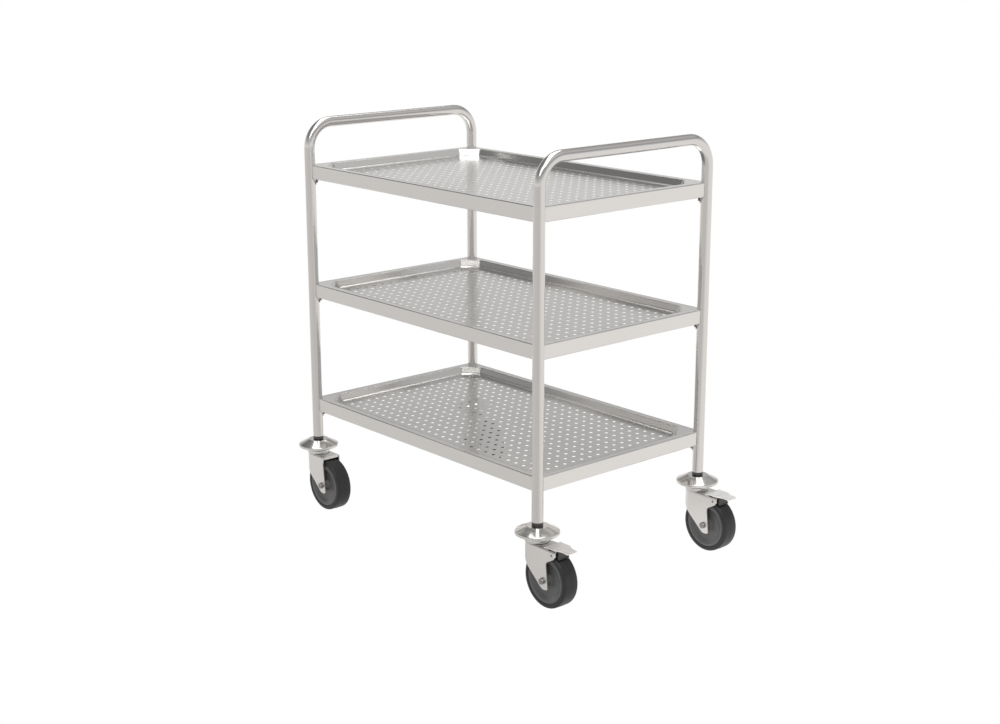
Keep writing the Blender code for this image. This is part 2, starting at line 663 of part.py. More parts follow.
def brake_pedal():
    """Tread plate with two cheeks that hang on the pin."""
    stations = (CROWN_REACH - PEDAL_LAP - EPS, PIN_X + PEDAL_FLAT, PEDAL_REACH + EPS)
    side = [(x, pedal_underside(x)) for x in stations]
    side += [(x, pedal_underside(x) + PEDAL_PLATE) for x in reversed(stations)]
    tread = side_slab(side, -FORK_OUTER - EPS, FORK_OUTER + EPS)
    middle = pedal_underside(PIN_X) + PEDAL_PLATE / 2
    plan = slab(pedal_outline(), middle - 2 * PEDAL_PLATE, middle + 2 * PEDAL_PLATE)
    cheek_outer = FORK_INNER - PEDAL_CHEEK_GAP
    eye = BRAKE_PIN_RADIUS + PEDAL_EYE_WALL
    cheek = arc((PIN_X, PIN_Z), eye, pi, 2 * pi, 6) + [(PIN_X + eye, middle), (PIN_X - eye, middle)]
    hole = moved(cylinder(BRAKE_PIN_RADIUS + FIT, -FORK_OUTER, FORK_OUTER), (PIN_X, 0, PIN_Z),
                 Matrix.Rotation(pi / 2, 4, "X"))
    return combined(tread, ("INTERSECT", plan),
                    ("UNION", side_slab(cheek, cheek_outer - PEDAL_PLATE, cheek_outer)),
                    ("UNION", side_slab(cheek, -cheek_outer, PEDAL_PLATE - cheek_outer)),
                    ("DIFFERENCE", hole))


def brake_shoe():
    """A plate curved round the tyre, on a riser under the pedal."""
    near = WHEEL_RADIUS + SHOE_CLEAR
    far = near + SHOE_PLATE
    axle = (TRAIL, AXLE_Z)
    first, last = SHOE_ARC
    riser_first, riser_last = SHOE_RISER_ARC
    riser = [TRAIL + far * cos(angle) for angle in (riser_last, riser_first)]
    outline = arc(axle, near, first, last, 4) + arc(axle, far, last, riser_last, 2)
    outline += [(x, pedal_underside(x) - FIT) for x in riser] + arc(axle, far, riser_first, first, 2)
    return side_slab(outline, -SHOE_HALF_WIDTH, SHOE_HALF_WIDTH)


def brake_pin():
    half = FORK_OUTER - FIT
    return cylinder(BRAKE_PIN_RADIUS, -half, half)


def about(x, z, mesh):
    """A mesh drawn from the swivel axis, moved so that its own axis is at the origin."""
    return moved(mesh, (-x, 0, -z))


def build_casters():
    across = (pi / 2, 0, 0)
    shared = {"head": swivel_head(), "bumper": bumper(), "expander": expander(), "tyre": tyre(),
              "core": wheel_core(), "sleeve": axle_sleeve(), "bolt": axle_bolt(), "nut": axle_nut(),
              "pedal": about(PIN_X, PIN_Z, brake_pedal()), "shoe": about(PIN_X, PIN_Z, brake_shoe()),
              "pin": brake_pin(), "fork": fork(False), "braked_fork": fork(True)}
    for where, x, y, sx, _ in post_positions():
        place(f"expander_{where}", shared["expander"], "black_plastic", (x, y, 0))
        place(f"bumper_{where}", shared["bumper"], "bumper_steel", (x, y, 0))
        place(f"swivel_head_{where}", shared["head"], "plated_steel", (x, y, 0))
        swivel = empty(f"swivel_axis_{where}", (x, y, 0))
        braked = sx > 0
        place(f"fork_{where}", shared["braked_fork" if braked else "fork"], "plated_steel", parent=swivel)
        axle = empty(f"axle_axis_{where}", (TRAIL, 0, AXLE_Z), swivel)
        bearing = FORK_OUTER + FIT
        place(f"axle_bolt_{where}", shared["bolt"], "plated_steel", (0, -bearing, 0), (-pi / 2, 0, 0), axle)
        place(f"axle_nut_{where}", shared["nut"], "plated_steel", (0, bearing, 0), (-pi / 2, 0, 0), axle)
        place(f"axle_sleeve_{where}", shared["sleeve"], "plated_steel", turn=across, parent=axle)
        place(f"wheel_core_{where}", shared["core"], "grey_core", turn=across, parent=axle)
        place(f"tyre_{where}", shared["tyre"], "grey_rubber", turn=across, parent=axle)
        if braked:
            pin = empty(f"brake_axis_{where}", (PIN_X, 0, PIN_Z), swivel)
            place(f"brake_pin_{where}", shared["pin"], "plated_steel", turn=across, parent=pin)
            place(f"brake_pedal_{where}", shared["pedal"], "plated_steel", parent=pin)
            place(f"brake_shoe_{where}", shared["shoe"], "plated_steel", parent=pin)


def build_frame():
    for end, sx in (("left", -1), ("right", 1)):
        place(f"end_frame_{end}", end_frame(sx), "polished_tube")
    for level, apron_z in shelf_levels():
        place(f"shelf_{level}", shelf(apron_z), "shelf_sheet")
        for where, x, y, sx, sy in post_positions():
            place(f"saddle_bolt_{level}_{where}", saddle_bolt(x, y, sx, sy, apron_z), "plated_steel")


build_frame()
build_casters()
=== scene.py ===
# %% [markdown]
# # A food service trolley in stainless steel
#
# A catering trolley is mostly bent tube and pressed sheet: two tube frames, three shelves that are pressed
# from one blank each, and four bought-in casters. This lesson builds its fine surface around a packed
# engineering model, which already has the right sizes, joints and bodies. Every visible piece here stands
# for one of that model's nodes, sits in the same place and moves with the same body.

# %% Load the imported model
import json
from math import atan2, copysign, cos, hypot, pi, radians, sin, tan

import bmesh
import bpy
from mathutils import Matrix, Vector


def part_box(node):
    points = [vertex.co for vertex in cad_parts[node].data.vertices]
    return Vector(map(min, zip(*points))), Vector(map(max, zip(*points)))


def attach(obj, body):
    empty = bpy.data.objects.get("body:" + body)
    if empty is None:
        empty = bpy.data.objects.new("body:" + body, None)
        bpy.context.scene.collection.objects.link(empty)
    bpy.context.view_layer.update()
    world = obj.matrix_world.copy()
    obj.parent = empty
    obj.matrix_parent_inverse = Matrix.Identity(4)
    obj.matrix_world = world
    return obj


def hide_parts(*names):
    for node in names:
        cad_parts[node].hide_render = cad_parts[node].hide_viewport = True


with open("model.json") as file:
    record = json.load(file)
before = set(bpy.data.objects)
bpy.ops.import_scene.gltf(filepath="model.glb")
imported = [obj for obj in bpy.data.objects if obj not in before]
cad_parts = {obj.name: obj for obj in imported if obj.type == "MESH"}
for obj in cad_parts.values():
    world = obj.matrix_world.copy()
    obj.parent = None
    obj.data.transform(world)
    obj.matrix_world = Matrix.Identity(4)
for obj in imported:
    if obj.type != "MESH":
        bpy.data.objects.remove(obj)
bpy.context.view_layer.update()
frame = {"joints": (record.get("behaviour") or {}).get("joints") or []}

# %% [markdown]
# ## Reading sizes from the frame
#
# A size that is typed twice will disagree with itself one day. So the places of posts, axles, pins and
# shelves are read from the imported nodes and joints. Only sizes that the plain model doesn't hold, such as
# the radius of a pressed fold or the thickness of a sheet, are written here.

# %% Places and main sizes
MM = 0.001
UP = Vector((0, 0, 1))
WHERE = ("front_left", "back_left", "front_right", "back_right")
BRAKED = ("front_right", "back_right")
LEVELS = ("bottom", "middle", "top")


def middle(node):
    low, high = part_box(node)
    return (low + high) / 2


def size(node):
    low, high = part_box(node)
    return high - low


JOINT_AT = {joint["name"]: Vector(joint["pos_m"]) for joint in frame["joints"]}
POST_AT = {where: Vector((*middle(f"expander_{where}").xy, 0)) for where in WHERE}
AXLE_AT = {where: JOINT_AT[f"wheel_spin_{where}"] for where in WHERE}
PIN_AT = {where: JOINT_AT[f"brake_press_{where}"] for where in BRAKED}
CENTRE_X = (POST_AT["front_left"].x + POST_AT["front_right"].x) / 2
POST_X = (POST_AT["front_right"].x - POST_AT["front_left"].x) / 2
POST_Y = POST_AT["back_left"].y
TUBE_RADIUS = size("end_frame_left").x / 2
BAR_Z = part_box("end_frame_left")[1].z - TUBE_RADIUS
TUBE_FOOT_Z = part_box("end_frame_left")[0].z
RIM_Z = {level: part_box(f"shelf_{level}")[1].z for level in LEVELS}
SHELF_HALF_X, SHELF_HALF_Y = size("shelf_top").x / 2, size("shelf_top").y / 2
print("posts", round(2 * POST_X, 4), round(2 * POST_Y, 4), "shelf", round(2 * SHELF_HALF_X, 4))

# %% [markdown]
# ## The camera
#
# The camera stands a little above the handles, off the corner that has a braked caster, with a moderate
# lens. Its three axes are worked out from an azimuth and an elevation, so that the view can be read from the
# numbers.

# %% Camera
CAMERA_AT = Vector((2.7227, -2.4039, 1.3744))
CAMERA_AZIMUTH, CAMERA_ELEVATION, CAMERA_ROLL = radians(48.914), radians(14.966), radians(-0.056)
LENS_MM, SENSOR_MM = 58.293, 36


def linked(name, data):
    """A new object in the scene."""
    made = bpy.data.objects.new(name, data)
    bpy.context.scene.collection.objects.link(made)
    return made


def make_camera():
    level = cos(CAMERA_ELEVATION)
    back = Vector((sin(CAMERA_AZIMUTH) * level, -cos(CAMERA_AZIMUTH) * level, sin(CAMERA_ELEVATION)))
    right = UP.cross(back).normalized()
    axes = Matrix((right, back.cross(right), back)).transposed().to_4x4()
    data = bpy.data.cameras.new("camera")
    data.lens, data.sensor_width = LENS_MM, SENSOR_MM
    made = linked("camera", data)
    made.matrix_world = Matrix.Translation(CAMERA_AT) @ axes @ Matrix.Rotation(CAMERA_ROLL, 4, "Z")
    bpy.context.scene.camera = made
    return made


camera = make_camera()
print("camera", [round(v, 3) for v in camera.location])

# %% [markdown]
# ## Floor, light and surroundings
#
# Bare steel has almost no colour of its own: it shows the room. So the room matters more than the lamps.
# Upright steel, seen from a little above, shows the floor, and a flat deck shows the far wall. So the floor
# is dimmer towards the front, the walls darken upwards into a dim ceiling, and one long bright strip hangs
# overhead, whose reflection gives the bumpers and the basins' corners their white patches. The camera itself
# sees plain white.

# %% Helpers for shader nodes
WHITE = (1, 1, 1, 1)


def feed(tree, node, sources):
    """Fills a node's inputs with sockets or plain values; returns its outputs."""
    for key, source in sources.items():
        if isinstance(source, bpy.types.NodeSocket):
            tree.links.new(source, node.inputs[key])
        else:
            node.inputs[key].default_value = source
    return node.outputs


def value_node(tree, operation, *sources, clamp=False):
    """A Math node; each input is a socket or a number."""
    node = tree.nodes.new("ShaderNodeMath")
    node.operation, node.use_clamp = operation, clamp
    return feed(tree, node, dict(enumerate(sources)))[0]


def vector_node(tree, operation, *sources):
    """A Vector Math node; each input is a socket or a vector."""
    node = tree.nodes.new("ShaderNodeVectorMath")
    node.operation = operation
    result = "Value" if operation in ("DOT_PRODUCT", "LENGTH") else "Vector"
    return feed(tree, node, dict(enumerate(sources)))[result]


def mix_node(tree, factor, first, second, kind="FLOAT"):
    """A Mix node; each input is a socket or a value."""
    node = tree.nodes.new("ShaderNodeMix")
    node.data_type = kind
    return feed(tree, node, {"Factor": factor, "A": first, "B": second})["Result"]


def camera_sees(tree):
    return tree.nodes.new("ShaderNodeLightPath").outputs["Is Camera Ray"]


print("shader helpers ready")

# %% World
TO_CAMERA = Vector((sin(CAMERA_AZIMUTH), -cos(CAMERA_AZIMUTH), 0))
STRIP_LENGTH, STRIP_WIDTH, STRIP_STRENGTH = 0.70, 0.27, 2.6
STRIP_SIDE, STRIP_END = 0.02, 0.04                              # how soft its edges are
WALL_GREY, WALL_CHANGE = 0.93, Vector((-0.02, 0.03, -1.38))     # a change per unit of direction
CEILING_GREY, CEILING_CHANGE, CEILING_LEAST = 0.42, Vector((0.30, 0.10, 0)), 0.08
CEILING_FROM, CEILING_TO = 0.42, 0.60                           # where the ceiling begins and is whole
ROOM_TINT = (1, 0.99, 0.98, 1)


def changing(tree, way, change, start):
    """A grey that changes evenly with the direction."""
    return value_node(tree, "ADD", vector_node(tree, "DOT_PRODUCT", way, change), start)


def inside(tree, distance, half, softness):
    """One within the half width, falling to zero over the softness."""
    over = value_node(tree, "SUBTRACT", half, value_node(tree, "ABSOLUTE", distance))
    return value_node(tree, "DIVIDE", over, softness, clamp=True)


def make_world():
    world = bpy.data.worlds.new("studio")
    world.use_nodes = True
    bpy.context.scene.world = world
    tree = world.node_tree
    way = tree.nodes.new("ShaderNodeTexCoord").outputs["Generated"]
    height = vector_node(tree, "DOT_PRODUCT", way, UP)
    walls = changing(tree, way, WALL_CHANGE, WALL_GREY)
    ceiling = value_node(tree, "MAXIMUM", changing(tree, way, CEILING_CHANGE, CEILING_GREY), CEILING_LEAST)
    rise = tree.nodes.new("ShaderNodeMapRange")
    rise.interpolation_type = "SMOOTHSTEP"
    rise = feed(tree, rise, {"From Min": CEILING_FROM, "From Max": CEILING_TO, "Value": height})
    room = mix_node(tree, rise["Result"], walls, ceiling)
    across = vector_node(tree, "DOT_PRODUCT", way, TO_CAMERA.cross(UP))
    along = vector_node(tree, "DOT_PRODUCT", way, TO_CAMERA)
    strip = value_node(tree, "MULTIPLY", inside(tree, across, STRIP_WIDTH, STRIP_SIDE),
                       inside(tree, along, STRIP_LENGTH, STRIP_END))
    strip = value_node(tree, "MULTIPLY", strip, value_node(tree, "GREATER_THAN", height, 0))
    strength = value_node(tree, "MULTIPLY_ADD", strip, STRIP_STRENGTH, room)
    feed(tree, tree.nodes["Background"], {"Strength": mix_node(tree, camera_sees(tree), strength, 1.0),
                                          "Color": ROOM_TINT})


make_world()
bpy.context.scene.view_settings.view_transform = "Standard"
print("world ready")

# %% Floor and lamp
FLOOR_HALF = 30
# The floor is not lit: it glows, and its glow is painted light. It is a little dimmer towards +X, much dimmer
# towards -Y, and darkened by a painted shadow pool under the trolley. The camera sees it plain white.
FLOOR_GREY, FLOOR_SIDE = 0.97, Vector((-0.045, 0, 0))           # a little dimmer towards +X
FLOOR_FRONT, FLOOR_FRONT_MOST = Vector((0, 0.5, 0)), -0.28      # and much dimmer towards -Y
SHADE_REACH, SHADE_DEPTH = 0.45, 0.15                           # the dim pool under the trolley
FLOOR_TINT = (1, 0.972, 0.945, 1)
LAMP_AT, LAMP_AIM, LAMP_WIDTH, LAMP_POWER = Vector((1.5, -3.2, 3.6)), Vector((0, 0, 0.4)), 2.0, 18


def mesh_of(bm, name):
    """Turns a bmesh into a mesh and frees it."""
    mesh = bpy.data.meshes.new(name)
    bm.to_mesh(mesh)
    bm.free()
    return mesh


def make_floor():
    bm = bmesh.new()
    bmesh.ops.create_grid(bm, x_segments=1, y_segments=1, size=FLOOR_HALF)
    floor = linked("floor", mesh_of(bm, "floor"))
    paper = bpy.data.materials.new("glowing_floor_paper")
    paper.use_nodes = True
    tree = paper.node_tree
    place = tree.nodes.new("ShaderNodeTexCoord").outputs["Object"]
    way = vector_node(tree, "NORMALIZE", place)
    front = value_node(tree, "MINIMUM", vector_node(tree, "DOT_PRODUCT", way, FLOOR_FRONT), 0)
    front = value_node(tree, "MAXIMUM", front, FLOOR_FRONT_MOST)
    change = value_node(tree, "ADD", vector_node(tree, "DOT_PRODUCT", way, FLOOR_SIDE), front)
    away = value_node(tree, "DIVIDE", vector_node(tree, "LENGTH", place), SHADE_REACH, clamp=True)
    away = value_node(tree, "POWER", away, 2)
    # Painted shadow: the glow is dimmed in a soft pool under the trolley.
    painted_shadow_pool = value_node(tree, "MULTIPLY_ADD", away, SHADE_DEPTH, 1 - SHADE_DEPTH)
    strength = value_node(tree, "MULTIPLY", value_node(tree, "ADD", change, FLOOR_GREY), painted_shadow_pool)
    feed(tree, tree.nodes["Principled BSDF"],
         {"Base Color": (0, 0, 0, 1), "Specular IOR Level": 0,
          "Emission Color": mix_node(tree, camera_sees(tree), FLOOR_TINT, WHITE, "RGBA"),
          "Emission Strength": mix_node(tree, camera_sees(tree), strength, 1.0)})
    floor.data.materials.append(paper)


def make_lamp():
    lamp = bpy.data.lights.new("soft_lamp", "AREA")
    lamp.size, lamp.energy = LAMP_WIDTH, LAMP_POWER
    made = linked("soft_lamp", lamp)
    made.location = LAMP_AT
    made.rotation_euler = (LAMP_AIM - LAMP_AT).to_track_quat("-Z", "Y").to_euler()


make_floor()
make_lamp()
print("floor and lamp")

# %% [markdown]
# ## Effects that several finishes share
#
# Two effects come back on almost every piece. Fine lines are left by belts, rollers and lathes, and they run
# with the shape, so each piece carries a "grain" attribute whose third value counts across the lines.
# Handling leaves slow, cloudy changes in gloss. Each effect is one node group, with its own numbers in
# each finish.

# %% Shader node groups
LINE_STRETCH = 0.012                                    # how slowly the lines change along their length
MARK_FINENESS, MARK_FROM, MARK_GAIN = 17.0, 0.6, 6.0    # how small the marks are, and which of them show


def new_group(name, inputs, outputs):
    group = bpy.data.node_groups.new(name, "ShaderNodeTree")
    for socket, kind, start in inputs:
        made = group.interface.new_socket(name=socket, in_out="INPUT", socket_type=kind)
        if start is not None:
            made.default_value = start
    for socket in outputs:
        group.interface.new_socket(name=socket, in_out="OUTPUT", socket_type="NodeSocketFloat")
    enter, leave = group.nodes.new("NodeGroupInput"), group.nodes.new("NodeGroupOutput")
    return group, enter.outputs, leave.inputs


def noise(tree, vector, scale, detail, roughness):
    sources = {"Vector": vector, "Scale": scale, "Detail": detail, "Roughness": roughness}
    return feed(tree, tree.nodes.new("ShaderNodeTexNoise"), sources)["Fac"]


def make_line_group():
    """Fine lines across the third value of a coordinate: a height, and a tone about zero."""
    group, enter, leave = new_group("finish_lines", [("Grain", "NodeSocketVector", None),
                                                     ("Per Metre", "NodeSocketFloat", 3000.0)],
                                    ["Height", "Tone"])
    stretched = vector_node(group, "MULTIPLY", enter["Grain"], Vector((LINE_STRETCH, LINE_STRETCH, 1)))
    fine = noise(group, stretched, enter["Per Metre"], 3, 0.6)
    group.links.new(fine, leave["Height"])
    group.links.new(value_node(group, "SUBTRACT", fine, 0.5), leave["Tone"])
    return group


def make_cloud_group():
    """Slow cloudy changes with small marks in them: a value about zero, and a mask of the marks."""
    group, enter, leave = new_group("handling_clouds", [("Place", "NodeSocketVector", None),
                                                        ("Per Metre", "NodeSocketFloat", 9.0)],
                                    ["Cloud", "Marks"])
    slow = noise(group, enter["Place"], enter["Per Metre"], 4, 0.55)
    group.links.new(value_node(group, "SUBTRACT", slow, 0.5), leave["Cloud"])
    finer = value_node(group, "MULTIPLY", enter["Per Metre"], MARK_FINENESS)
    small = noise(group, enter["Place"], finer, 5, 0.6)
    over = value_node(group, "SUBTRACT", small, MARK_FROM)
    group.links.new(value_node(group, "MULTIPLY", over, MARK_GAIN, clamp=True), leave["Marks"])
    return group


LINES, CLOUDS = make_line_group(), make_cloud_group()
print("node groups", LINES.name, CLOUDS.name)

# %% [markdown]
# ## Finishes
#
# All the metals are one recipe with different numbers: a base colour, a roughness, how strong the lines are
# and how much the clouds change the gloss. Rubber and plastic use the same two groups with no metal in them.
# What is the same all over a surface is set on the shader itself.

# %% Materials


def shade(colour, amount, tree, tone):
    """The colour, made lighter and darker by a tone about zero."""
    darker = (*[c * (1 - amount) for c in colour], 1)
    lighter = (*[min(1, c * (1 + amount)) for c in colour], 1)
    return mix_node(tree, value_node(tree, "ADD", tone, 0.5, clamp=True), darker, lighter, "RGBA")


def group_node(tree, group, sources):
    node = tree.nodes.new("ShaderNodeGroup")
    node.node_tree = group
    return feed(tree, node, sources)


def finish(name, colour, metallic, roughness, line_height, lines_per_metre=3000.0, tone=0.05, gloss=0.06):
    """One surface finish: lines and clouds change its colour, roughness and normal."""
    made = bpy.data.materials.new(name)
    made.use_nodes = True
    tree = made.node_tree
    grain = tree.nodes.new("ShaderNodeAttribute")
    grain.attribute_name = "grain"
    lines = group_node(tree, LINES, {"Grain": grain.outputs["Vector"], "Per Metre": lines_per_metre})
    place = tree.nodes.new("ShaderNodeTexCoord").outputs["Object"]
    clouds = group_node(tree, CLOUDS, {"Place": place})
    both = value_node(tree, "ADD", lines["Tone"], clouds["Cloud"])
    uneven = value_node(tree, "MULTIPLY", clouds["Cloud"], gloss * 2)
    marked = value_node(tree, "MULTIPLY", clouds["Marks"], gloss)
    rough = value_node(tree, "ADD", value_node(tree, "ADD", uneven, marked), roughness)
    bump = feed(tree, tree.nodes.new("ShaderNodeBump"),
                {"Distance": line_height, "Strength": 1.0, "Height": lines["Height"]})
    feed(tree, tree.nodes["Principled BSDF"],
         {"Metallic": metallic, "Base Color": shade(colour, tone, tree, both), "Roughness": rough,
          "Normal": bump["Normal"]})
    return made


STEEL, PLASTIC = 1.0, 0.0        # how metallic the base is
FINISH = {
    "tube": finish("satin_tube_steel", (0.72, 0.705, 0.695), STEEL, 0.17, 0.0003 * MM, tone=0.02),
    "sheet": finish("satin_sheet_steel", (0.76, 0.755, 0.745), STEEL, 0.22, 0.0002 * MM, tone=0.02,
                    gloss=0.02),
    "bumper": finish("polished_bumper_steel", (0.74, 0.73, 0.715), STEEL, 0.15, 0.0002 * MM, tone=0.02,
                     gloss=0.02),
    "zinc": finish("satin_zinc_plate", (0.80, 0.795, 0.785), STEEL, 0.28, 0.0015 * MM),
    # The pedal's tread is zinc with its own rougher grain. Its base colour is lighter than the zinc's, and
    # that extra lightness is painted light: it stands in for the brighter light its upturned face catches.
    "tread": finish("zinc_tread_painted_lighter", (0.93, 0.925, 0.92), STEEL, 0.42, 0.004 * MM, 1500.0),
    "bolt": finish("dark_bolt_steel", (0.32, 0.315, 0.31), STEEL, 0.22, 0.003 * MM, gloss=0.1),
    "weld": finish("brushed_weld", (0.62, 0.60, 0.57), STEEL, 0.42, 0.02 * MM, 900.0, tone=0.15),
    "collar": finish("black_collar_plastic", (0.06, 0.059, 0.058), PLASTIC, 0.35, 0.01 * MM, tone=0.1),
    "tyre": finish("charcoal_tyre_rubber", (0.018, 0.018, 0.0195), PLASTIC, 0.40, 0.012 * MM, 1500.0,
                   tone=0.15, gloss=0.1),
    "core": finish("grey_core_plastic", (0.12, 0.121, 0.124), PLASTIC, 0.30, 0.006 * MM, 1800.0, tone=0.1),
    "shoe": finish("dark_shoe_coating", (0.05, 0.05, 0.052), PLASTIC, 0.3, 0.006 * MM, 1500.0, tone=0.1),
}
print("finishes", ", ".join(FINISH))

# %% [markdown]
# ## Putting a piece in its place
#
# Each piece is drawn about its own axis, because that is where its lines and curves are simple. Before it is
# moved, every point writes down its grain coordinate: the first two values change slowly along the lines,
# and the third counts across them. Then the move goes into the mesh, and the object itself stays at the
# origin, unturned.

# %% Grain coordinates


def turned_grain(co):
    """Lines run round the Z axis."""
    radius = hypot(co.x, co.y)
    return co.x, co.y, radius + co.z


def sheet_grain(co):
    """Lines run along X on a flat or folded sheet."""
    return co.x, 0.0, co.y + co.z


def upright_grain(co):
    """Lines run up a plate that stands in XZ."""
    return 0.0, co.z, co.x + co.y


def write_grain(mesh, grain):
    values = [v for vertex in mesh.vertices for v in grain(vertex.co)]
    mesh.attributes.new("grain", "FLOAT_VECTOR", "POINT").data.foreach_set("vector", values)


print("grain of a turned point", turned_grain(Vector((3, 4, 1))))

# %% Adding and finishing a piece


def mesh_from(bm, grain, sharp_angle=radians(35)):
    mesh = mesh_of(bm, "shape")
    write_grain(mesh, grain)
    mesh.shade_smooth()
    mesh.set_sharp_from_angle(angle=sharp_angle)
    return mesh


def add_piece(name, mesh, look, body, replaces=(), place=None):
    """A shown piece: the mesh is moved by place, and the object stays at the origin."""
    data = mesh.copy()
    data.name = name
    if place is not None:
        data.transform(place)
    data.materials.clear()
    data.materials.append(FINISH[look])
    made = linked(name, data)
    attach(made, body)
    if replaces:
        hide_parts(*replaces)
    return made


def softened(piece, width, segments=2, angle=radians(40)):
    """Rounds the sharp edges of a finished piece."""
    bevel = piece.modifiers.new("soft_edges", "BEVEL")
    bevel.width, bevel.segments = width, segments
    bevel.limit_method, bevel.angle_limit = "ANGLE", angle
    bevel.use_clamp_overlap = True
    return evenly_shaded(piece)


def thickened(piece, thickness):
    """Gives an open sheet its thickness, on the side away from its normals."""
    wall = piece.modifiers.new("sheet", "SOLIDIFY")
    wall.thickness, wall.offset = thickness, -1
    wall.use_even_offset = True
    return piece


def evenly_shaded(piece):
    """Large flat faces stay flat in the shading, and only the rounded edges between them turn."""
    even = piece.modifiers.new("even_shading", "WEIGHTED_NORMAL")
    even.mode, even.weight, even.keep_sharp = "FACE_AREA", 50, True
    return piece


print("pieces take one of", len(FINISH), "finishes")

# %% Outlines


def arc(centre, radius, start, end, steps):
    """Points of an arc from one angle to another."""
    return [(centre[0] + radius * cos(start + (end - start) * i / steps),
             centre[1] + radius * sin(start + (end - start) * i / steps)) for i in range(steps + 1)]


def round_corner(before, corner, after, radius, steps):
    """Points of the arc that rounds a corner of a flat outline."""
    corner = Vector(corner)
    back, ahead = (Vector(before) - corner).normalized(), (Vector(after) - corner).normalized()
    half = back.angle(ahead) / 2
    centre = corner + (back + ahead).normalized() * radius / sin(half)
    start, end = corner + back * radius / tan(half) - centre, corner + ahead * radius / tan(half) - centre
    turn = (atan2(end.y, end.x) - atan2(start.y, start.x) + pi) % (2 * pi) - pi
    first = atan2(start.y, start.x)
    return arc(centre, radius, first, first + turn, steps)


def rounded(corners, steps=4, closed=True):
    """An outline of (across, up, corner radius), with its corners rounded."""
    points = []
    last = len(corners) - 1
    for i, (across, up, radius) in enumerate(corners):
        if radius == 0 or (not closed and i in (0, last)):
            points.append((across, up))
        else:
            before, after = corners[i - 1][:2], corners[(i + 1) % len(corners)][:2]
            points += round_corner(before, (across, up), after, radius, steps)
    return points


def mirrored(upper):
    """A profile's upper half and the same half below zero, running back."""
    return upper + [(radius, -height, soft) for radius, height, soft in reversed(upper)]


print("a corner in four steps", len(rounded([(0, 0, 0), (1, 0, 0.1), (1, 1, 0)], closed=False)), "points")

# %% Solids from outlines
MERGE = 0.001 * MM               # points closer than this are one point
NEAR = 0.01 * MM                 # points closer than this to a plane lie on it
ON_SIDE = Matrix.Rotation(pi / 2, 4, "X")
VERT, EDGE = bmesh.types.BMVert, bmesh.types.BMEdge


def only(kind, geom):
    """The verts or edges among an operator's results."""
    return [g for g in geom if isinstance(g, kind)]


def all_of(bm):
    return bm.verts[:] + bm.edges[:] + bm.faces[:]


def lathe(points, steps, closed=True):
    """A profile of (radius, height) points, spun about Z."""
    bm = bmesh.new()
    verts = [bm.verts.new((radius, 0, height)) for radius, height in points]
    pairs = list(zip(verts, verts[1:])) + ([(verts[-1], verts[0])] if closed else [])
    edges = [bm.edges.new(pair) for pair in pairs]
    bmesh.ops.spin(bm, geom=verts + edges, cent=(0, 0, 0), axis=(0, 0, 1), angle=2 * pi, steps=steps,
                   use_merge=True)
    bmesh.ops.remove_doubles(bm, verts=bm.verts, dist=MERGE)
    bmesh.ops.dissolve_degenerate(bm, edges=bm.edges, dist=MERGE)
    bmesh.ops.recalc_face_normals(bm, faces=bm.faces)
    return bm


def plate(outline, low, high, upright=False):
    """A flat outline as a closed plate: (x, y) between two heights, or upright, (x, z) between two y."""
    bm = bmesh.new()
    at = (lambda a, b: (a, low, b)) if upright else (lambda a, b: (a, b, low))
    face = bm.faces.new([bm.verts.new(at(a, b)) for a, b in outline])
    made = bmesh.ops.extrude_face_region(bm, geom=[face])["geom"]
    shift = (0, high - low, 0) if upright else (0, 0, high - low)
    bmesh.ops.translate(bm, verts=only(VERT, made), vec=shift)
    bmesh.ops.recalc_face_normals(bm, faces=bm.faces)
    return bm


def absorb(bm, part):
    """Adds a finished bmesh to another one."""
    bm.from_mesh(mesh_of(part, "part"))


def face_towards(bm, way):
    """Makes an open sheet's normals agree, and mostly point one way."""
    bmesh.ops.recalc_face_normals(bm, faces=bm.faces)
    if sum(f.normal.dot(way) * f.calc_area() for f in bm.faces) < 0:
        bmesh.ops.reverse_faces(bm, faces=bm.faces)


def bevel(bm, geom, offset, segments, affect="EDGES"):
    bmesh.ops.bevel(bm, geom=geom, offset=offset, segments=segments, profile=0.5, affect=affect, material=-1)


def extended(bm, edges, vector):
    """Extrudes edges along a vector; returns the edges at the end."""
    made = bmesh.ops.extrude_edge_only(bm, edges=edges)["geom"]
    bmesh.ops.translate(bm, verts=only(VERT, made), vec=vector)
    return only(EDGE, made)


def turned_over(bm, edges, centre, axis, steps):
    """Spins edges by a quarter turn; returns the edges at the end."""
    geom = edges + list({v for e in edges for v in e.verts})
    made = bmesh.ops.spin(bm, geom=geom, cent=centre, axis=axis, angle=pi / 2, steps=steps)
    return only(EDGE, made["geom_last"])


print("lathe and plate ready")

# %% [markdown]
# ## End frames
#
# Each end frame is one tube: up, over the handle and down again. A tube like this can be a curve with a
# round bevel, but a ring of edges that is extruded and spun keeps the bend's radius exact and lets each
# ring know how far along the tube it is. The polishing belt ran round the tube, so the grain's third value
# is that distance.

# %% Bent tubes
TUBE_SIDES, BEND_STEPS = 40, 14
TUBE_WALL = 1.5 * MM
BEND_RADIUS = 60 * MM
BEND_Z, BEND_Y = BAR_Z - BEND_RADIUS, POST_Y - BEND_RADIUS


def tube_grain(x):
    """Lines round the tube: the third value is the distance along it."""
    def grain(co):
        side = -1 if co.y < 0 else 1
        if co.z < BEND_Z:
            across, along = abs(co.y) - POST_Y, co.z
        elif abs(co.y) > BEND_Y:
            out = Vector((abs(co.y) - BEND_Y, co.z - BEND_Z))
            across, along = out.length - BEND_RADIUS, BEND_Z + BEND_RADIUS * atan2(out.y, out.x)
        else:
            across, along = co.z - BAR_Z, BEND_Z + BEND_RADIUS * pi / 2 + BEND_Y - abs(co.y)
        return co.x - x, across, side * along
    return grain


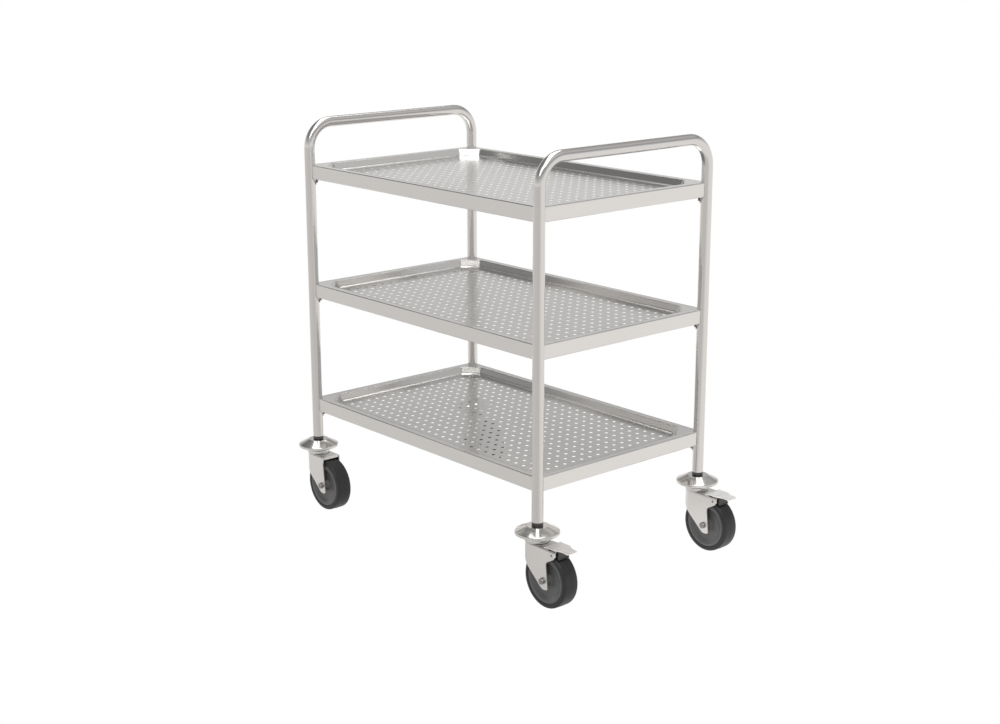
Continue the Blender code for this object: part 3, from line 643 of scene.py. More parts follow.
def bent_tube(x):
    """Up, over the handle and down: an open tube about its middle line."""
    bm = bmesh.new()
    bmesh.ops.create_circle(bm, radius=TUBE_RADIUS, segments=TUBE_SIDES,
                            matrix=Matrix.Translation((x, -POST_Y, TUBE_FOOT_Z)))
    ring = extended(bm, bm.edges[:], (0, 0, BEND_Z - TUBE_FOOT_Z))
    ring = turned_over(bm, ring, (x, -BEND_Y, BEND_Z), (-1, 0, 0), BEND_STEPS)
    ring = extended(bm, ring, (0, 2 * BEND_Y, 0))
    ring = turned_over(bm, ring, (x, BEND_Y, BEND_Z), (-1, 0, 0), BEND_STEPS)
    extended(bm, ring, (0, 0, TUBE_FOOT_Z - BEND_Z))
    bmesh.ops.remove_doubles(bm, verts=bm.verts, dist=MERGE)
    caps = bmesh.ops.holes_fill(bm, edges=bm.edges)["faces"]
    bmesh.ops.recalc_face_normals(bm, faces=bm.faces)
    bmesh.ops.delete(bm, geom=caps, context="FACES_ONLY")
    return bm


for end in ("left", "right"):
    x = POST_AT[f"front_{end}"].x
    tube = add_piece(f"tube_{end}", mesh_from(bent_tube(x), tube_grain(x)), "tube", "frame",
                     [f"end_frame_{end}"])
    evenly_shaded(thickened(tube, TUBE_WALL))
    print(tube.name, len(tube.data.polygons), "faces, top", round(max(v.co.z for v in tube.data.vertices), 4))

# %% [markdown]
# ## Shelves
#
# A shelf is pressed from one blank: a flat rim, a basin with sloping walls and cut corners, and an apron
# that is folded down on each side and hemmed. Its surface is made as one open sheet that is given its
# thickness at the end. The basin is a face that is inset again and again, a little further in and down each
# time, so that every ring keeps an even distance from the one before.
#
# The floor is full of small drain holes. A Boolean with four hundred cutters would be slow and leave a poor
# mesh, so one square cell with a hole is made by bridging a square and a circle, and the cell is repeated.

# %% Shelf sizes
SHEET = 0.3 * MM                 # drawn thin, so that the small holes read as open
APRON = 32 * MM
FOLD = 2.5 * MM                  # outside radius of the fold between rim and apron
HEM = 6 * MM
RIM_WIDTH = 19 * MM
BASIN_DEPTH, BASIN_SLOPE = 15 * MM, 9 * MM
MOUTH_ROUND, FOOT_ROUND = 3 * MM, 7 * MM
CORNER_LEG, CORNER_ROUND = 40 * MM, 12 * MM
NOTCH = TUBE_RADIUS + 0.8 * MM   # round bite at each post
HOLE_PITCH, HOLE_RADIUS = 25 * MM, 4.1 * MM
HOLE_COLUMNS, HOLE_ROWS = 28, 16
HOLE_SIDES = 12
print("sheet", SHEET, "holes", HOLE_COLUMNS * HOLE_ROWS)

# %% Pressing the basin


def basin_profile():
    """How far in and how far down each ring of the basin lies, from the flat rim."""
    corners = [(-RIM_WIDTH, 0, 0), (0, 0, MOUTH_ROUND), (BASIN_SLOPE, -BASIN_DEPTH, FOOT_ROUND),
               (3 * RIM_WIDTH, -BASIN_DEPTH, 0)]
    return rounded(corners, 5, closed=False)[1:-1]


def press_basin(bm):
    """Insets the mouth down to the floor; returns the mouth's edges and the floor's face."""
    profile = basin_profile()
    start = profile[0][0]
    half_x, half_y = SHELF_HALF_X - RIM_WIDTH - start, SHELF_HALF_Y - RIM_WIDTH - start
    bmesh.ops.create_grid(bm, x_segments=1, y_segments=1, size=1)
    bmesh.ops.scale(bm, verts=bm.verts, vec=(half_x, half_y, 1))
    bevel(bm, bm.verts[:], CORNER_LEG, 1, "VERTICES")
    bevel(bm, bm.verts[:], CORNER_ROUND * tan(pi / 8), 4, "VERTICES")
    mouth = list(bm.edges)
    floor = bm.faces[:][0]
    for (across, down), (next_across, next_down) in zip(profile, profile[1:]):
        bmesh.ops.inset_region(bm, faces=[floor], use_boundary=True, use_even_offset=True,
                               thickness=next_across - across, depth=next_down - down)
    return mouth, floor


print("basin rings", len(basin_profile()))

# %% Drilling the floor


def drain_cell(bm, x, y, z):
    """One square of the floor with a round hole in it."""
    spot = Matrix.Translation((x, y, z))
    before = set(bm.edges)
    bmesh.ops.create_circle(bm, radius=HOLE_PITCH / 2 * 2 ** 0.5, segments=4,
                            matrix=spot @ Matrix.Rotation(pi / 4, 4, "Z"))
    bmesh.ops.subdivide_edges(bm, edges=[e for e in bm.edges if e not in before],
                              cuts=HOLE_SIDES // 4 - 1)
    square = [e for e in bm.edges if e not in before]
    known = set(bm.edges)
    bmesh.ops.create_circle(bm, radius=HOLE_RADIUS, segments=HOLE_SIDES,
                            matrix=spot @ Matrix.Rotation(pi / HOLE_SIDES, 4, "Z"))
    bmesh.ops.bridge_loops(bm, edges=square + [e for e in bm.edges if e not in known])


def repeat_along(bm, geom, count, step):
    """Copies the geometry count - 1 times, each a step further on."""
    everything = list(geom)
    for i in range(1, count):
        made = bmesh.ops.duplicate(bm, geom=geom)["geom"]
        bmesh.ops.translate(bm, verts=only(VERT, made), vec=Vector(step) * i)
        everything += made
    return everything


def drilled_floor(z):
    """The rectangle of cells that fills the middle of the floor, at one height."""
    bm = bmesh.new()
    drain_cell(bm, -HOLE_PITCH * (HOLE_COLUMNS - 1) / 2, -HOLE_PITCH * (HOLE_ROWS - 1) / 2, z)
    row = repeat_along(bm, all_of(bm), HOLE_COLUMNS, (HOLE_PITCH, 0, 0))
    repeat_along(bm, row, HOLE_ROWS, (0, HOLE_PITCH, 0))
    bmesh.ops.remove_doubles(bm, verts=bm.verts, dist=NEAR)
    return bm


print("holes from end to end", round(HOLE_PITCH * (HOLE_COLUMNS - 1), 3))

# %% Rim and aprons


def fill_between(bm, edges):
    """Flat faces between an outer loop of edges and an inner one."""
    bmesh.ops.triangle_fill(bm, use_beauty=True, use_dissolve=False, edges=edges, normal=(0, 0, 1))


def notched_outline(bm):
    """The rim's outer edge, with a round bite about each post; returns all edges and the straight ones."""
    half_x, half_y = SHELF_HALF_X - FOLD, SHELF_HALF_Y - FOLD
    edge_x, edge_y = half_x - POST_X, half_y - POST_Y
    ends, arcs = [], []
    for sx, sy in ((1, 1), (-1, 1), (-1, -1), (1, -1)):
        post = Vector((sx * POST_X, sy * POST_Y, 0))
        on_x = Vector((sx * edge_x, -sy * (NOTCH ** 2 - edge_x ** 2) ** 0.5, 0))
        on_y = Vector((-sx * (NOTCH ** 2 - edge_y ** 2) ** 0.5, sy * edge_y, 0))
        turn = on_x.xy.angle_signed(on_y.xy)             # clockwise is positive
        turn = -turn if abs(turn) < pi else turn
        known = set(bm.edges)
        start = bm.verts.new(post + on_x)
        made = bmesh.ops.spin(bm, geom=[start], cent=post, axis=(0, 0, 1), angle=turn, steps=8)
        last = only(VERT, made["geom_last"])[0]
        arcs += [e for e in bm.edges if e not in known]
        ends.append((start, last) if sx * sy > 0 else (last, start))
    straight = [bm.edges.new((ends[i][1], ends[(i + 1) % 4][0])) for i in range(4)]
    return arcs + straight, straight


def fold_apron(bm, edge):
    """Folds one side down from the rim, then turns its lower edge in."""
    a, b = (v.co.copy() for v in edge.verts)
    out = ((a + b) / 2).normalized()
    out = Vector((round(out.x), round(out.y), 0))
    axis = UP.cross(out)
    edges = turned_over(bm, [edge], a - UP * FOLD, axis, 5)
    edges = extended(bm, edges, -UP * (APRON - 2 * FOLD))
    edges = turned_over(bm, edges, a - UP * (APRON - FOLD), axis, 4)
    extended(bm, edges, -out * (HEM - FOLD))


print("apron", APRON, "hem", HEM)

# %% The whole sheet


def shelf_sheet():
    """The whole pressed sheet about its own middle, with the rim at height zero."""
    bm = bmesh.new()
    mouth, floor = press_basin(bm)
    outline, straight = notched_outline(bm)
    fill_between(bm, mouth + outline)
    foot = list(floor.edges)
    floor_z = floor.verts[0].co.z
    bmesh.ops.delete(bm, geom=[floor], context="FACES_ONLY")
    known = set(bm.edges)
    absorb(bm, drilled_floor(floor_z))
    half_x, half_y = HOLE_PITCH * HOLE_COLUMNS / 2, HOLE_PITCH * HOLE_ROWS / 2
    border = [e for e in bm.edges if e not in known and e.is_boundary
              and (all(abs(abs(v.co.x) - half_x) < 0.1 * MM for v in e.verts)
                   or all(abs(abs(v.co.y) - half_y) < 0.1 * MM for v in e.verts))]
    fill_between(bm, foot + border)
    for edge in straight:
        fold_apron(bm, edge)
    bmesh.ops.remove_doubles(bm, verts=bm.verts, dist=MERGE)
    face_towards(bm, UP)
    return bm


SHELF_MESH = mesh_from(shelf_sheet(), sheet_grain, radians(28))
print("sheet", len(SHELF_MESH.polygons), "faces")

# %% Make the three shelves
for level in LEVELS:
    shelf = add_piece(f"pressed_shelf_{level}", SHELF_MESH, "sheet", "frame",
                      [f"shelf_{level}"], Matrix.Translation((CENTRE_X, 0, RIM_Z[level])))
    evenly_shaded(thickened(shelf, SHEET))
    print(shelf.name, "rim at", round(RIM_Z[level], 4))

# %% [markdown]
# ## Saddles, welds and bolts
#
# The shelves don't clamp the posts: at each corner a curved plate is welded to the shelf and hugs the inside
# of the post, and one bolt holds it there. The plate is a strip spun about the post's axis, with its two
# lower corners cut off by planes. A thin bead of weld closes the seam between the plate and the rim.

# %% Saddle plates and their bolts
SADDLE_WALL, SADDLE_GAP = 2 * MM, 0.3 * MM
SADDLE_HALF_ANGLE = radians(55)
SADDLE_DROP, SADDLE_BOLT_DROP = 14.5 * MM, 6 * MM
SADDLE_CUT = radians(38)         # slope of the cut corners
BOLT_ACROSS, BOLT_HEAD = 8 * MM, 3.4 * MM
BOLT_WASHER_RADIUS, BOLT_WASHER = 4.6 * MM, 0.6 * MM
CHAMFER, BREAK = 0.07, 0.02      # a hexagon's rounded edges, as parts of its width
WELD_RADIUS, WELD_HALF_ANGLE, WELD_RIPPLE = 1.1 * MM, radians(50), 0.18
SADDLE_FACE = TUBE_RADIUS + SADDLE_GAP + SADDLE_WALL


def saddle_plate():
    """A curved plate about Z that faces +X, from below the apron up to just under the rim."""
    bm = bmesh.new()
    start = Matrix.Rotation(-SADDLE_HALF_ANGLE, 4, "Z") @ Vector((SADDLE_FACE, 0, 0))
    lower = bm.verts.new(start + Vector((0, 0, -APRON - SADDLE_DROP)))
    upper = bm.verts.new(start + Vector((0, 0, -SHEET - 0.1 * MM)))
    edge = bm.edges.new((lower, upper))
    bmesh.ops.subdivide_edges(bm, edges=[edge], cuts=11)
    bmesh.ops.spin(bm, geom=all_of(bm), cent=(0, 0, 0), axis=(0, 0, 1), angle=2 * SADDLE_HALF_ANGLE, steps=16)
    for side in (-1, 1):
        corner = Vector((0, side * SADDLE_FACE * sin(SADDLE_HALF_ANGLE), -APRON))
        normal = Vector((0, side * cos(SADDLE_CUT), -sin(SADDLE_CUT)))
        bmesh.ops.bisect_plane(bm, geom=all_of(bm), plane_co=corner, plane_no=normal, clear_outer=True)
    bmesh.ops.remove_doubles(bm, verts=bm.verts, dist=MERGE)
    face_towards(bm, Vector((1, 0, 0)))
    return bm


def weld_bead():
    """A thin bead along the seam between saddle and rim, about Z, facing +X."""
    bm = bmesh.new()
    seam = Matrix.Translation((SADDLE_FACE + 0.2 * MM, 0, 0))
    bmesh.ops.create_circle(bm, radius=WELD_RADIUS, segments=8, matrix=seam @ ON_SIDE)
    bmesh.ops.rotate(bm, verts=bm.verts, cent=(0, 0, 0), matrix=Matrix.Rotation(-WELD_HALF_ANGLE, 3, "Z"))
    bmesh.ops.spin(bm, geom=all_of(bm), cent=(0, 0, 0), axis=(0, 0, 1), angle=2 * WELD_HALF_ANGLE, steps=40)
    bmesh.ops.holes_fill(bm, edges=bm.edges)
    for vert in bm.verts:
        vert.co.z *= 1 + WELD_RIPPLE * sin(atan2(vert.co.y, vert.co.x) * 60)
    bmesh.ops.recalc_face_normals(bm, faces=bm.faces)
    return bm


def hex_head(across, height, washer_radius, washer):
    """A hexagon head on a washer, on top of Z = 0."""
    bm = bmesh.new()
    corner = across / 3 ** 0.5
    bmesh.ops.create_cone(bm, cap_ends=True, segments=6, radius1=corner, radius2=corner,
                          depth=height - washer, matrix=Matrix.Translation((0, 0, (height + washer) / 2)))
    top = [e for e in bm.edges if all(v.co.z > height - NEAR for v in e.verts)]
    bevel(bm, top, across * CHAMFER, 3)
    rest = [e for e in bm.edges if e.is_convex and e.calc_face_angle(0) > radians(50)]
    bevel(bm, rest, across * BREAK, 2)
    disc = [(0, washer, 0), (washer_radius, washer, washer * 0.4), (washer_radius, 0, 0), (0, 0, 0)]
    absorb(bm, lathe(rounded(disc, 3), 36))
    bmesh.ops.recalc_face_normals(bm, faces=bm.faces)
    return bm


SADDLE_MESH = mesh_from(saddle_plate(), lambda co: (0.0, co.z, atan2(co.y, co.x) * TUBE_RADIUS))
BEAD_MESH = mesh_from(weld_bead(), lambda co: (co.z, 0.0, atan2(co.y, co.x) * TUBE_RADIUS))
SMALL_HEAD_MESH = mesh_from(hex_head(BOLT_ACROSS, BOLT_HEAD, BOLT_WASHER_RADIUS, BOLT_WASHER), turned_grain)
print("saddle, bead, head", [len(mesh.polygons) for mesh in (SADDLE_MESH, BEAD_MESH, SMALL_HEAD_MESH)])

# %% Make the saddles, beads and screws
for level in LEVELS:
    for where in WHERE:
        post = POST_AT[where]
        inward = Matrix.Rotation(atan2(copysign(1, -post.y), copysign(1, CENTRE_X - post.x)), 4, "Z")
        at_rim = Matrix.Translation((post.x, post.y, RIM_Z[level])) @ inward
        saddle = add_piece(f"saddle_{level}_{where}", SADDLE_MESH, "sheet", "frame",
                           place=at_rim)
        softened(thickened(saddle, SADDLE_WALL), 0.35 * MM)
        add_piece(f"weld_{level}_{where}", BEAD_MESH, "weld", "frame",
                  place=at_rim @ Matrix.Translation((0, 0, -SHEET - WELD_RADIUS)))
        hole = Matrix.Translation((SADDLE_FACE, 0, -APRON - SADDLE_BOLT_DROP))
        add_piece(f"saddle_screw_{level}_{where}", SMALL_HEAD_MESH, "bolt", "frame",
                  [f"saddle_bolt_{level}_{where}"], at_rim @ hole @ Matrix.Rotation(pi / 2, 4, "Y"))
print("saddles, beads and screws", 3 * len(LEVELS) * len(WHERE))

# %% [markdown]
# ## Bumper discs, collars and swivel heads
#
# These are all round about the post. A lathe profile with its corners rounded gives each one in a single
# spin. The bumper is spun from thin plate, so its profile goes out along the top and comes back along the
# underside.

# %% Turned pieces on the post
BUMPER_LOW, BUMPER_HIGH = (corner.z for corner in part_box("bumper_front_left"))
BUMPER_RADIUS = size("bumper_front_left").x / 2
BUMPER_FLAT, BUMPER_WALL = 23.5 * MM, 1.5 * MM
BUMPER_CONE_DROP = 11.8 * MM
HEAD_LOW, HEAD_HIGH = (corner.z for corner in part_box("swivel_head_front_left"))
CAP_Z = JOINT_AT["swivel_turn_front_left"].z
CAP_RADIUS = size("swivel_head_front_left").x / 2
NECK_RADIUS, STEM_RADIUS = 14 * MM, 5 * MM
COLLAR_LOW, COLLAR_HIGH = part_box("expander_front_left")[0].z, TUBE_FOOT_Z - 0.3 * MM
PLUG_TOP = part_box("expander_front_left")[1].z


def bumper_profile():
    """Out along the top of the cone and back under it."""
    bore = STEM_RADIUS + 0.3 * MM
    shoulder = BUMPER_HIGH - BUMPER_CONE_DROP
    inner = BUMPER_RADIUS - BUMPER_WALL
    return rounded([(bore, BUMPER_HIGH, 0.4 * MM), (BUMPER_FLAT, BUMPER_HIGH, 4 * MM),
                    (BUMPER_RADIUS, shoulder, 2.2 * MM), (BUMPER_RADIUS, BUMPER_LOW, 0.5 * MM),
                    (inner, BUMPER_LOW, 0.5 * MM), (inner, shoulder - BUMPER_WALL * 0.7, 1.2 * MM),
                    (BUMPER_FLAT - 0.4 * MM, BUMPER_HIGH - BUMPER_WALL, 3 * MM),
                    (bore, BUMPER_HIGH - BUMPER_WALL, 0)], 6)


def collar_profile():
    """The plug inside the tube, and the dark collar below the tube's end."""
    bore, plug, collar = STEM_RADIUS + 0.3 * MM, TUBE_RADIUS - TUBE_WALL - 0.4 * MM, TUBE_RADIUS - 0.3 * MM
    return rounded([(bore, PLUG_TOP, 0), (plug, PLUG_TOP, 1 * MM), (plug, COLLAR_HIGH, 0),
                    (collar, COLLAR_HIGH, 0.6 * MM), (collar, COLLAR_LOW, 0.6 * MM),
                    (bore, COLLAR_LOW, 0)], 4)


def head_profile():
    """Stem, neck, domed cap and kingpin, from the top down; open on the axis at both ends."""
    neck_top = BUMPER_HIGH - 2.4 * MM
    cap_top = CAP_Z + 10 * MM
    return rounded([(0, HEAD_HIGH, 0), (STEM_RADIUS, HEAD_HIGH, 1 * MM), (STEM_RADIUS, neck_top, 0),
                    (NECK_RADIUS, neck_top, 1.2 * MM), (NECK_RADIUS, cap_top + 3.4 * MM, 3 * MM),
                    (CAP_RADIUS, cap_top - 1.5 * MM, 4.5 * MM), (CAP_RADIUS, CAP_Z + 3.2 * MM, 0),
                    (CAP_RADIUS - 0.5 * MM, CAP_Z + 2.7 * MM, 0), (CAP_RADIUS, CAP_Z + 2.2 * MM, 0),
                    (CAP_RADIUS, CAP_Z, 0.6 * MM), (8 * MM, CAP_Z, 0), (8 * MM, HEAD_LOW + 4.7 * MM, 0),
                    (12 * MM, HEAD_LOW + 4.7 * MM, 0.5 * MM), (11 * MM, HEAD_LOW, 1.5 * MM),
                    (0, HEAD_LOW, 0)], 5, closed=False)


BUMPER_MESH = mesh_from(lathe(bumper_profile(), 72), turned_grain)
COLLAR_MESH = mesh_from(lathe(collar_profile(), 36), turned_grain)
HEAD_MESH = mesh_from(lathe(head_profile(), 56, closed=False), turned_grain)
TURNED = (("bumper_disc", BUMPER_MESH, "bumper", "bumper_steel", "bumper"),
          ("post_collar", COLLAR_MESH, "collar", "black_plastic", "expander"),
          ("caster_head", HEAD_MESH, "zinc", "plated_steel", "swivel_head"))
for where in WHERE:
    for name, mesh, look, slot, node in TURNED:
        add_piece(f"{name}_{where}", mesh, look, "frame", [f"{node}_{where}"],
                  Matrix.Translation(POST_AT[where]))
print("bumper, collar, head", [len(mesh.polygons) for _, mesh, *_ in TURNED])

# %% [markdown]
# ## Forks
#
# A fork is pressed from flat plate into a U with a round nose. Its outside and inside are two plain
# extrusions with rounded upper edges, one cut out of the other, and a third extrusion seen from the side
# trims the legs to shape. Booleans suit this: three simple closed solids, and no fine detail in any of them.

# %% Fork sizes
FORK_OUTER = size("fork_front_left").y / 2
FORK_PLATE = 3 * MM
FORK_INNER = FORK_OUTER - FORK_PLATE
CROWN_TOP_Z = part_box("fork_front_left")[1].z
CROWN_Z = CROWN_TOP_Z - FORK_PLATE
TRAIL = AXLE_AT["front_left"].x - POST_AT["front_left"].x
AXLE_Z = AXLE_AT["front_left"].z
FOOT_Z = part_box("fork_front_left")[0].z
FOOT_RADIUS = AXLE_Z - FOOT_Z
CROWN_REACH = 51 * MM
CROWN_LIP = 3.5 * MM
CROWN_ROUND = 4 * MM
PIN_X = PIN_AT["front_right"].x - POST_AT["front_right"].x
PIN_Z = PIN_AT["front_right"].z
EAR_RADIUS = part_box("fork_front_right")[1].x - PIN_AT["front_right"].x
NOSE_STEPS = 24
AXLE_HOLE, PIN_HOLE = 4.3 * MM, 2.8 * MM
print("fork", round(2 * FORK_OUTER, 4), "wide, trail", round(TRAIL, 4))

# %% Fork shapes


def nose_plan(half_width, reach):
    """Top view: a half circle about the swivel axis, and two straight sides."""
    sides = [(reach, half_width), (reach, -half_width)]
    return arc((0, 0), half_width, 3 * pi / 2, pi / 2, NOSE_STEPS) + sides


def leg_outline(braked):
    """Side view: leading edge down to the foot, up the trailing edge and, with a brake, round the ear."""
    front = FORK_OUTER + MM
    top = CROWN_TOP_Z + MM
    corners = [(-front, top, 0), (-front, AXLE_Z + 44 * MM, 0),
               (-FORK_OUTER / 2, AXLE_Z + 31.5 * MM, 20 * MM), (0, AXLE_Z + 18.5 * MM, 60 * MM),
               (TRAIL - 9.5 * MM, AXLE_Z - 12.5 * MM, 0)]
    points = rounded(corners, 5, closed=False)[:-1]
    points += arc((TRAIL + 5 * MM, AXLE_Z), FOOT_RADIUS, radians(222), radians(305), 12)
    flare = CROWN_REACH + 2.8 * MM
    if braked:
        points += arc((flare + 10 * MM, PIN_Z - 26 * MM), 10 * MM, pi, radians(112), 8)
        points += arc((PIN_X, PIN_Z), EAR_RADIUS, radians(-58), radians(72), 16)
    else:
        points.append((flare, CROWN_Z - 32 * MM))
    return points + [(CROWN_REACH, top)]


def round_top_edges(bm, z, radius, steps):
    """Rounds the upper edges, apart from the ones behind the crown."""
    top = [e for e in bm.edges if all(abs(v.co.z - z) < NEAR for v in e.verts)
           and not all(v.co.x > CROWN_REACH for v in e.verts)]
    bevel(bm, top, radius, steps)


print("leg outlines", len(leg_outline(False)), "and, with an ear,", len(leg_outline(True)), "points")

# %% Booleans for the forks


def trimmed(base, steps):
    """Booleans in order on a bmesh; returns the result as a bmesh and leaves nothing behind."""
    body = linked("tool", mesh_of(base, "tool"))
    tools = [(operation, linked("tool", mesh_of(bm, "tool"))) for operation, bm in steps]
    for operation, tool in tools:
        change = body.modifiers.new(operation, "BOOLEAN")
        change.operation, change.solver, change.object = operation, "EXACT", tool
    bpy.context.view_layer.update()
    graph = bpy.context.evaluated_depsgraph_get()
    result = bmesh.new()
    result.from_mesh(body.evaluated_get(graph).to_mesh())
    for made in [body] + [tool for _, tool in tools]:
        bpy.data.objects.remove(made, do_unlink=True)
    bmesh.ops.remove_doubles(result, verts=result.verts, dist=2 * MERGE)
    bmesh.ops.dissolve_degenerate(result, edges=result.edges, dist=2 * MERGE)
    return result


def rod(radius, x, z, half):
    """A round bar along Y, as a cutter."""
    bm = bmesh.new()
    bmesh.ops.create_cone(bm, cap_ends=True, segments=32, radius1=radius, radius2=radius, depth=2 * half,
                          matrix=Matrix.Translation((x, 0, z)) @ ON_SIDE)
    return bm


def fork_shell(braked):
    """Outside minus inside, cut open behind the crown, trimmed from the side and drilled."""
    reach = PIN_X + EAR_RADIUS + MM
    low = FOOT_Z - MM
    outer = plate(nose_plan(FORK_OUTER, reach), low, CROWN_TOP_Z)
    round_top_edges(outer, CROWN_TOP_Z, CROWN_ROUND, 5)
    inner = plate(nose_plan(FORK_INNER, reach + MM), low - MM, CROWN_Z)
    round_top_edges(inner, CROWN_Z, 1.2 * MM, 3)
    sides = plate(leg_outline(braked), -FORK_OUTER - MM, FORK_OUTER + MM, upright=True)
    behind = plate([(CROWN_REACH, -FORK_INNER), (reach + MM, -FORK_INNER), (reach + MM, FORK_INNER),
                    (CROWN_REACH, FORK_INNER)], CROWN_Z - 2 * MM, CROWN_TOP_Z + MM)
    steps = [("DIFFERENCE", inner), ("DIFFERENCE", behind), ("INTERSECT", sides),
             ("DIFFERENCE", rod(AXLE_HOLE, TRAIL, AXLE_Z, 2 * FORK_OUTER))]
    if braked:
        steps.append(("DIFFERENCE", rod(PIN_HOLE, PIN_X, PIN_Z, 2 * FORK_OUTER)))
    return trimmed(outer, steps)


def crown_lip():
    """The turned-down edge between the legs of a fork that has no brake."""
    half = FORK_INNER - 2.2 * MM
    top, foot = CROWN_TOP_Z - 0.05 * MM, CROWN_Z - CROWN_LIP
    root, inside_x = CROWN_REACH - 6 * MM, CROWN_REACH - FORK_PLATE
    side = rounded([(root, top, 0), (CROWN_REACH, top, 3 * MM), (CROWN_REACH, foot, 0), (inside_x, foot, 0),
                    (inside_x, CROWN_Z, 0), (root, CROWN_Z, 0)], 5)
    return plate(side, -half, half, upright=True)


FORK_MESH = {braked: mesh_from(fork_shell(braked), upright_grain) for braked in (False, True)}
LIP_MESH = mesh_from(crown_lip(), sheet_grain)
print("fork", len(FORK_MESH[False].polygons), "and, with ears,", len(FORK_MESH[True].polygons), "faces")

# %% Make the forks
for where in WHERE:
    braked = where in BRAKED
    at_post = Matrix.Translation(POST_AT[where])
    fork = add_piece(f"pressed_fork_{where}", FORK_MESH[braked], "zinc", f"swivel_{where}",
                     [f"fork_{where}"], at_post)
    softened(fork, 0.45 * MM, 2, radians(50))
    if not braked:
        lip = add_piece(f"fork_lip_{where}", LIP_MESH, "zinc", f"swivel_{where}",
                        place=at_post)
        softened(lip, 0.35 * MM, 2, radians(50))
    print(fork.name, "with ears" if braked else "with a lip")

# %% [markdown]
# ## Wheels
#
# The wheel is a grey moulded core with a rubber tyre bonded round it. Both are lathe work. What makes them
# read as moulded is small: the raised ring beside the tyre, the shallow dish, soft corners everywhere and a
# fine parting line round the tread.

# %% Tyres, cores and bushes
WHEEL_RADIUS = size("tyre_front_left").z / 2
WHEEL_HALF = size("tyre_front_left").y / 2
TYRE_BORE = WHEEL_RADIUS - 11 * MM
HUB_HALF = size("wheel_core_front_left").y / 2
WEB_HALF = 12.5 * MM
WHEEL_STEPS = 96


def tyre_profile():
    """Bore, side wall, rounded shoulder and a nearly flat crown."""
    line = 0.25 * MM             # parting line of the mould, standing proud of the crown
    crown = WHEEL_RADIUS - line
    return rounded(mirrored([(TYRE_BORE, WHEEL_HALF - 1.6 * MM, 0),
                             (TYRE_BORE + 1.6 * MM, WHEEL_HALF - 0.4 * MM, 0.8 * MM),
                             (WHEEL_RADIUS - 6 * MM, WHEEL_HALF, 4 * MM),
                             (crown - 0.4 * MM, WHEEL_HALF - 1.4 * MM, 3.2 * MM), (crown, 6 * MM, 20 * MM),
                             (crown, 0.35 * MM, 0), (WHEEL_RADIUS, 0.15 * MM, 0)]), 5)


def core_profile():
    """Hub, dished web and the raised ring beside the tyre."""
    rim = TYRE_BORE - 0.05 * MM
    ring = WHEEL_HALF - 0.8 * MM
    return rounded(mirrored([(7.5 * MM, HUB_HALF, 0.4 * MM), (12 * MM, HUB_HALF, 1 * MM),
                             (14.5 * MM, WEB_HALF - 1.2 * MM, 3 * MM), (37 * MM, WEB_HALF - 0.6 * MM, 8 * MM),
                             (44.5 * MM, ring - 1.2 * MM, 2 * MM), (46.5 * MM, ring, 1.2 * MM),
                             (rim - 0.4 * MM, ring, 0.6 * MM), (rim, ring - 1.6 * MM, 0)]), 5)


def sleeve_profile():
    """A plain bush between the legs."""
    half = FORK_INNER - 0.3 * MM
    return rounded(mirrored([(AXLE_HOLE, half, 0.3 * MM), (7.2 * MM, half, 0.5 * MM)]), 3)


TYRE_MESH = mesh_from(lathe(tyre_profile(), WHEEL_STEPS), turned_grain)
CORE_MESH = mesh_from(lathe(core_profile(), WHEEL_STEPS), turned_grain)
SLEEVE_MESH = mesh_from(lathe(sleeve_profile(), 36), turned_grain)
ON_AXLE = (("rubber_tyre", TYRE_MESH, "tyre", "wheel", "grey_rubber", "tyre"),
           ("wheel_centre", CORE_MESH, "core", "wheel", "grey_core", "wheel_core"),
           ("wheel_bush", SLEEVE_MESH, "zinc", "swivel", "plated_steel", "axle_sleeve"))
for where in WHERE:
    on_axle = Matrix.Translation(AXLE_AT[where]) @ ON_SIDE
    for name, mesh, look, body, slot, node in ON_AXLE:
        add_piece(f"{name}_{where}", mesh, look, f"{body}_{where}", [f"{node}_{where}"], on_axle)
print("tyre", len(TYRE_MESH.polygons), "core", len(CORE_MESH.polygons))

# %% [markdown]
# ## Axle bolts and nuts
#
# The bolt passes through both legs. Its head sits on one leg and the nut on the other, each with a washer
# face, so one shape with two heights does for both. A short threaded end stands out of the nut.

# %% Axle hardware
HEAD_HEIGHT, NUT_HEIGHT, AXLE_HEX = 5.3 * MM, 6.5 * MM, 13 * MM
AXLE_WASHER_RADIUS, AXLE_WASHER = 7.6 * MM, 0.8 * MM
THREAD_RADIUS, THREAD_OUT, THREAD_PITCH = 3.9 * MM, 2 * MM, 1.25 * MM


def thread_end():
    """The bolt's shank with a rolled end: rings stand for the thread."""
    out = NUT_HEIGHT + THREAD_OUT
    points = [(0, out), (THREAD_RADIUS - 0.7 * MM, out)]
    height = out - 0.4 * MM
    while height > NUT_HEIGHT - 1 * MM:
        points += [(THREAD_RADIUS, height), (THREAD_RADIUS - 0.5 * MM, height - THREAD_PITCH / 2)]
        height -= THREAD_PITCH
    points += [(THREAD_RADIUS, height), (THREAD_RADIUS, -2 * FORK_OUTER), (0, -2 * FORK_OUTER)]
    return lathe(points, 32, closed=False)


def axle_hex(height):
    return mesh_from(hex_head(AXLE_HEX, height, AXLE_WASHER_RADIUS, AXLE_WASHER), turned_grain)


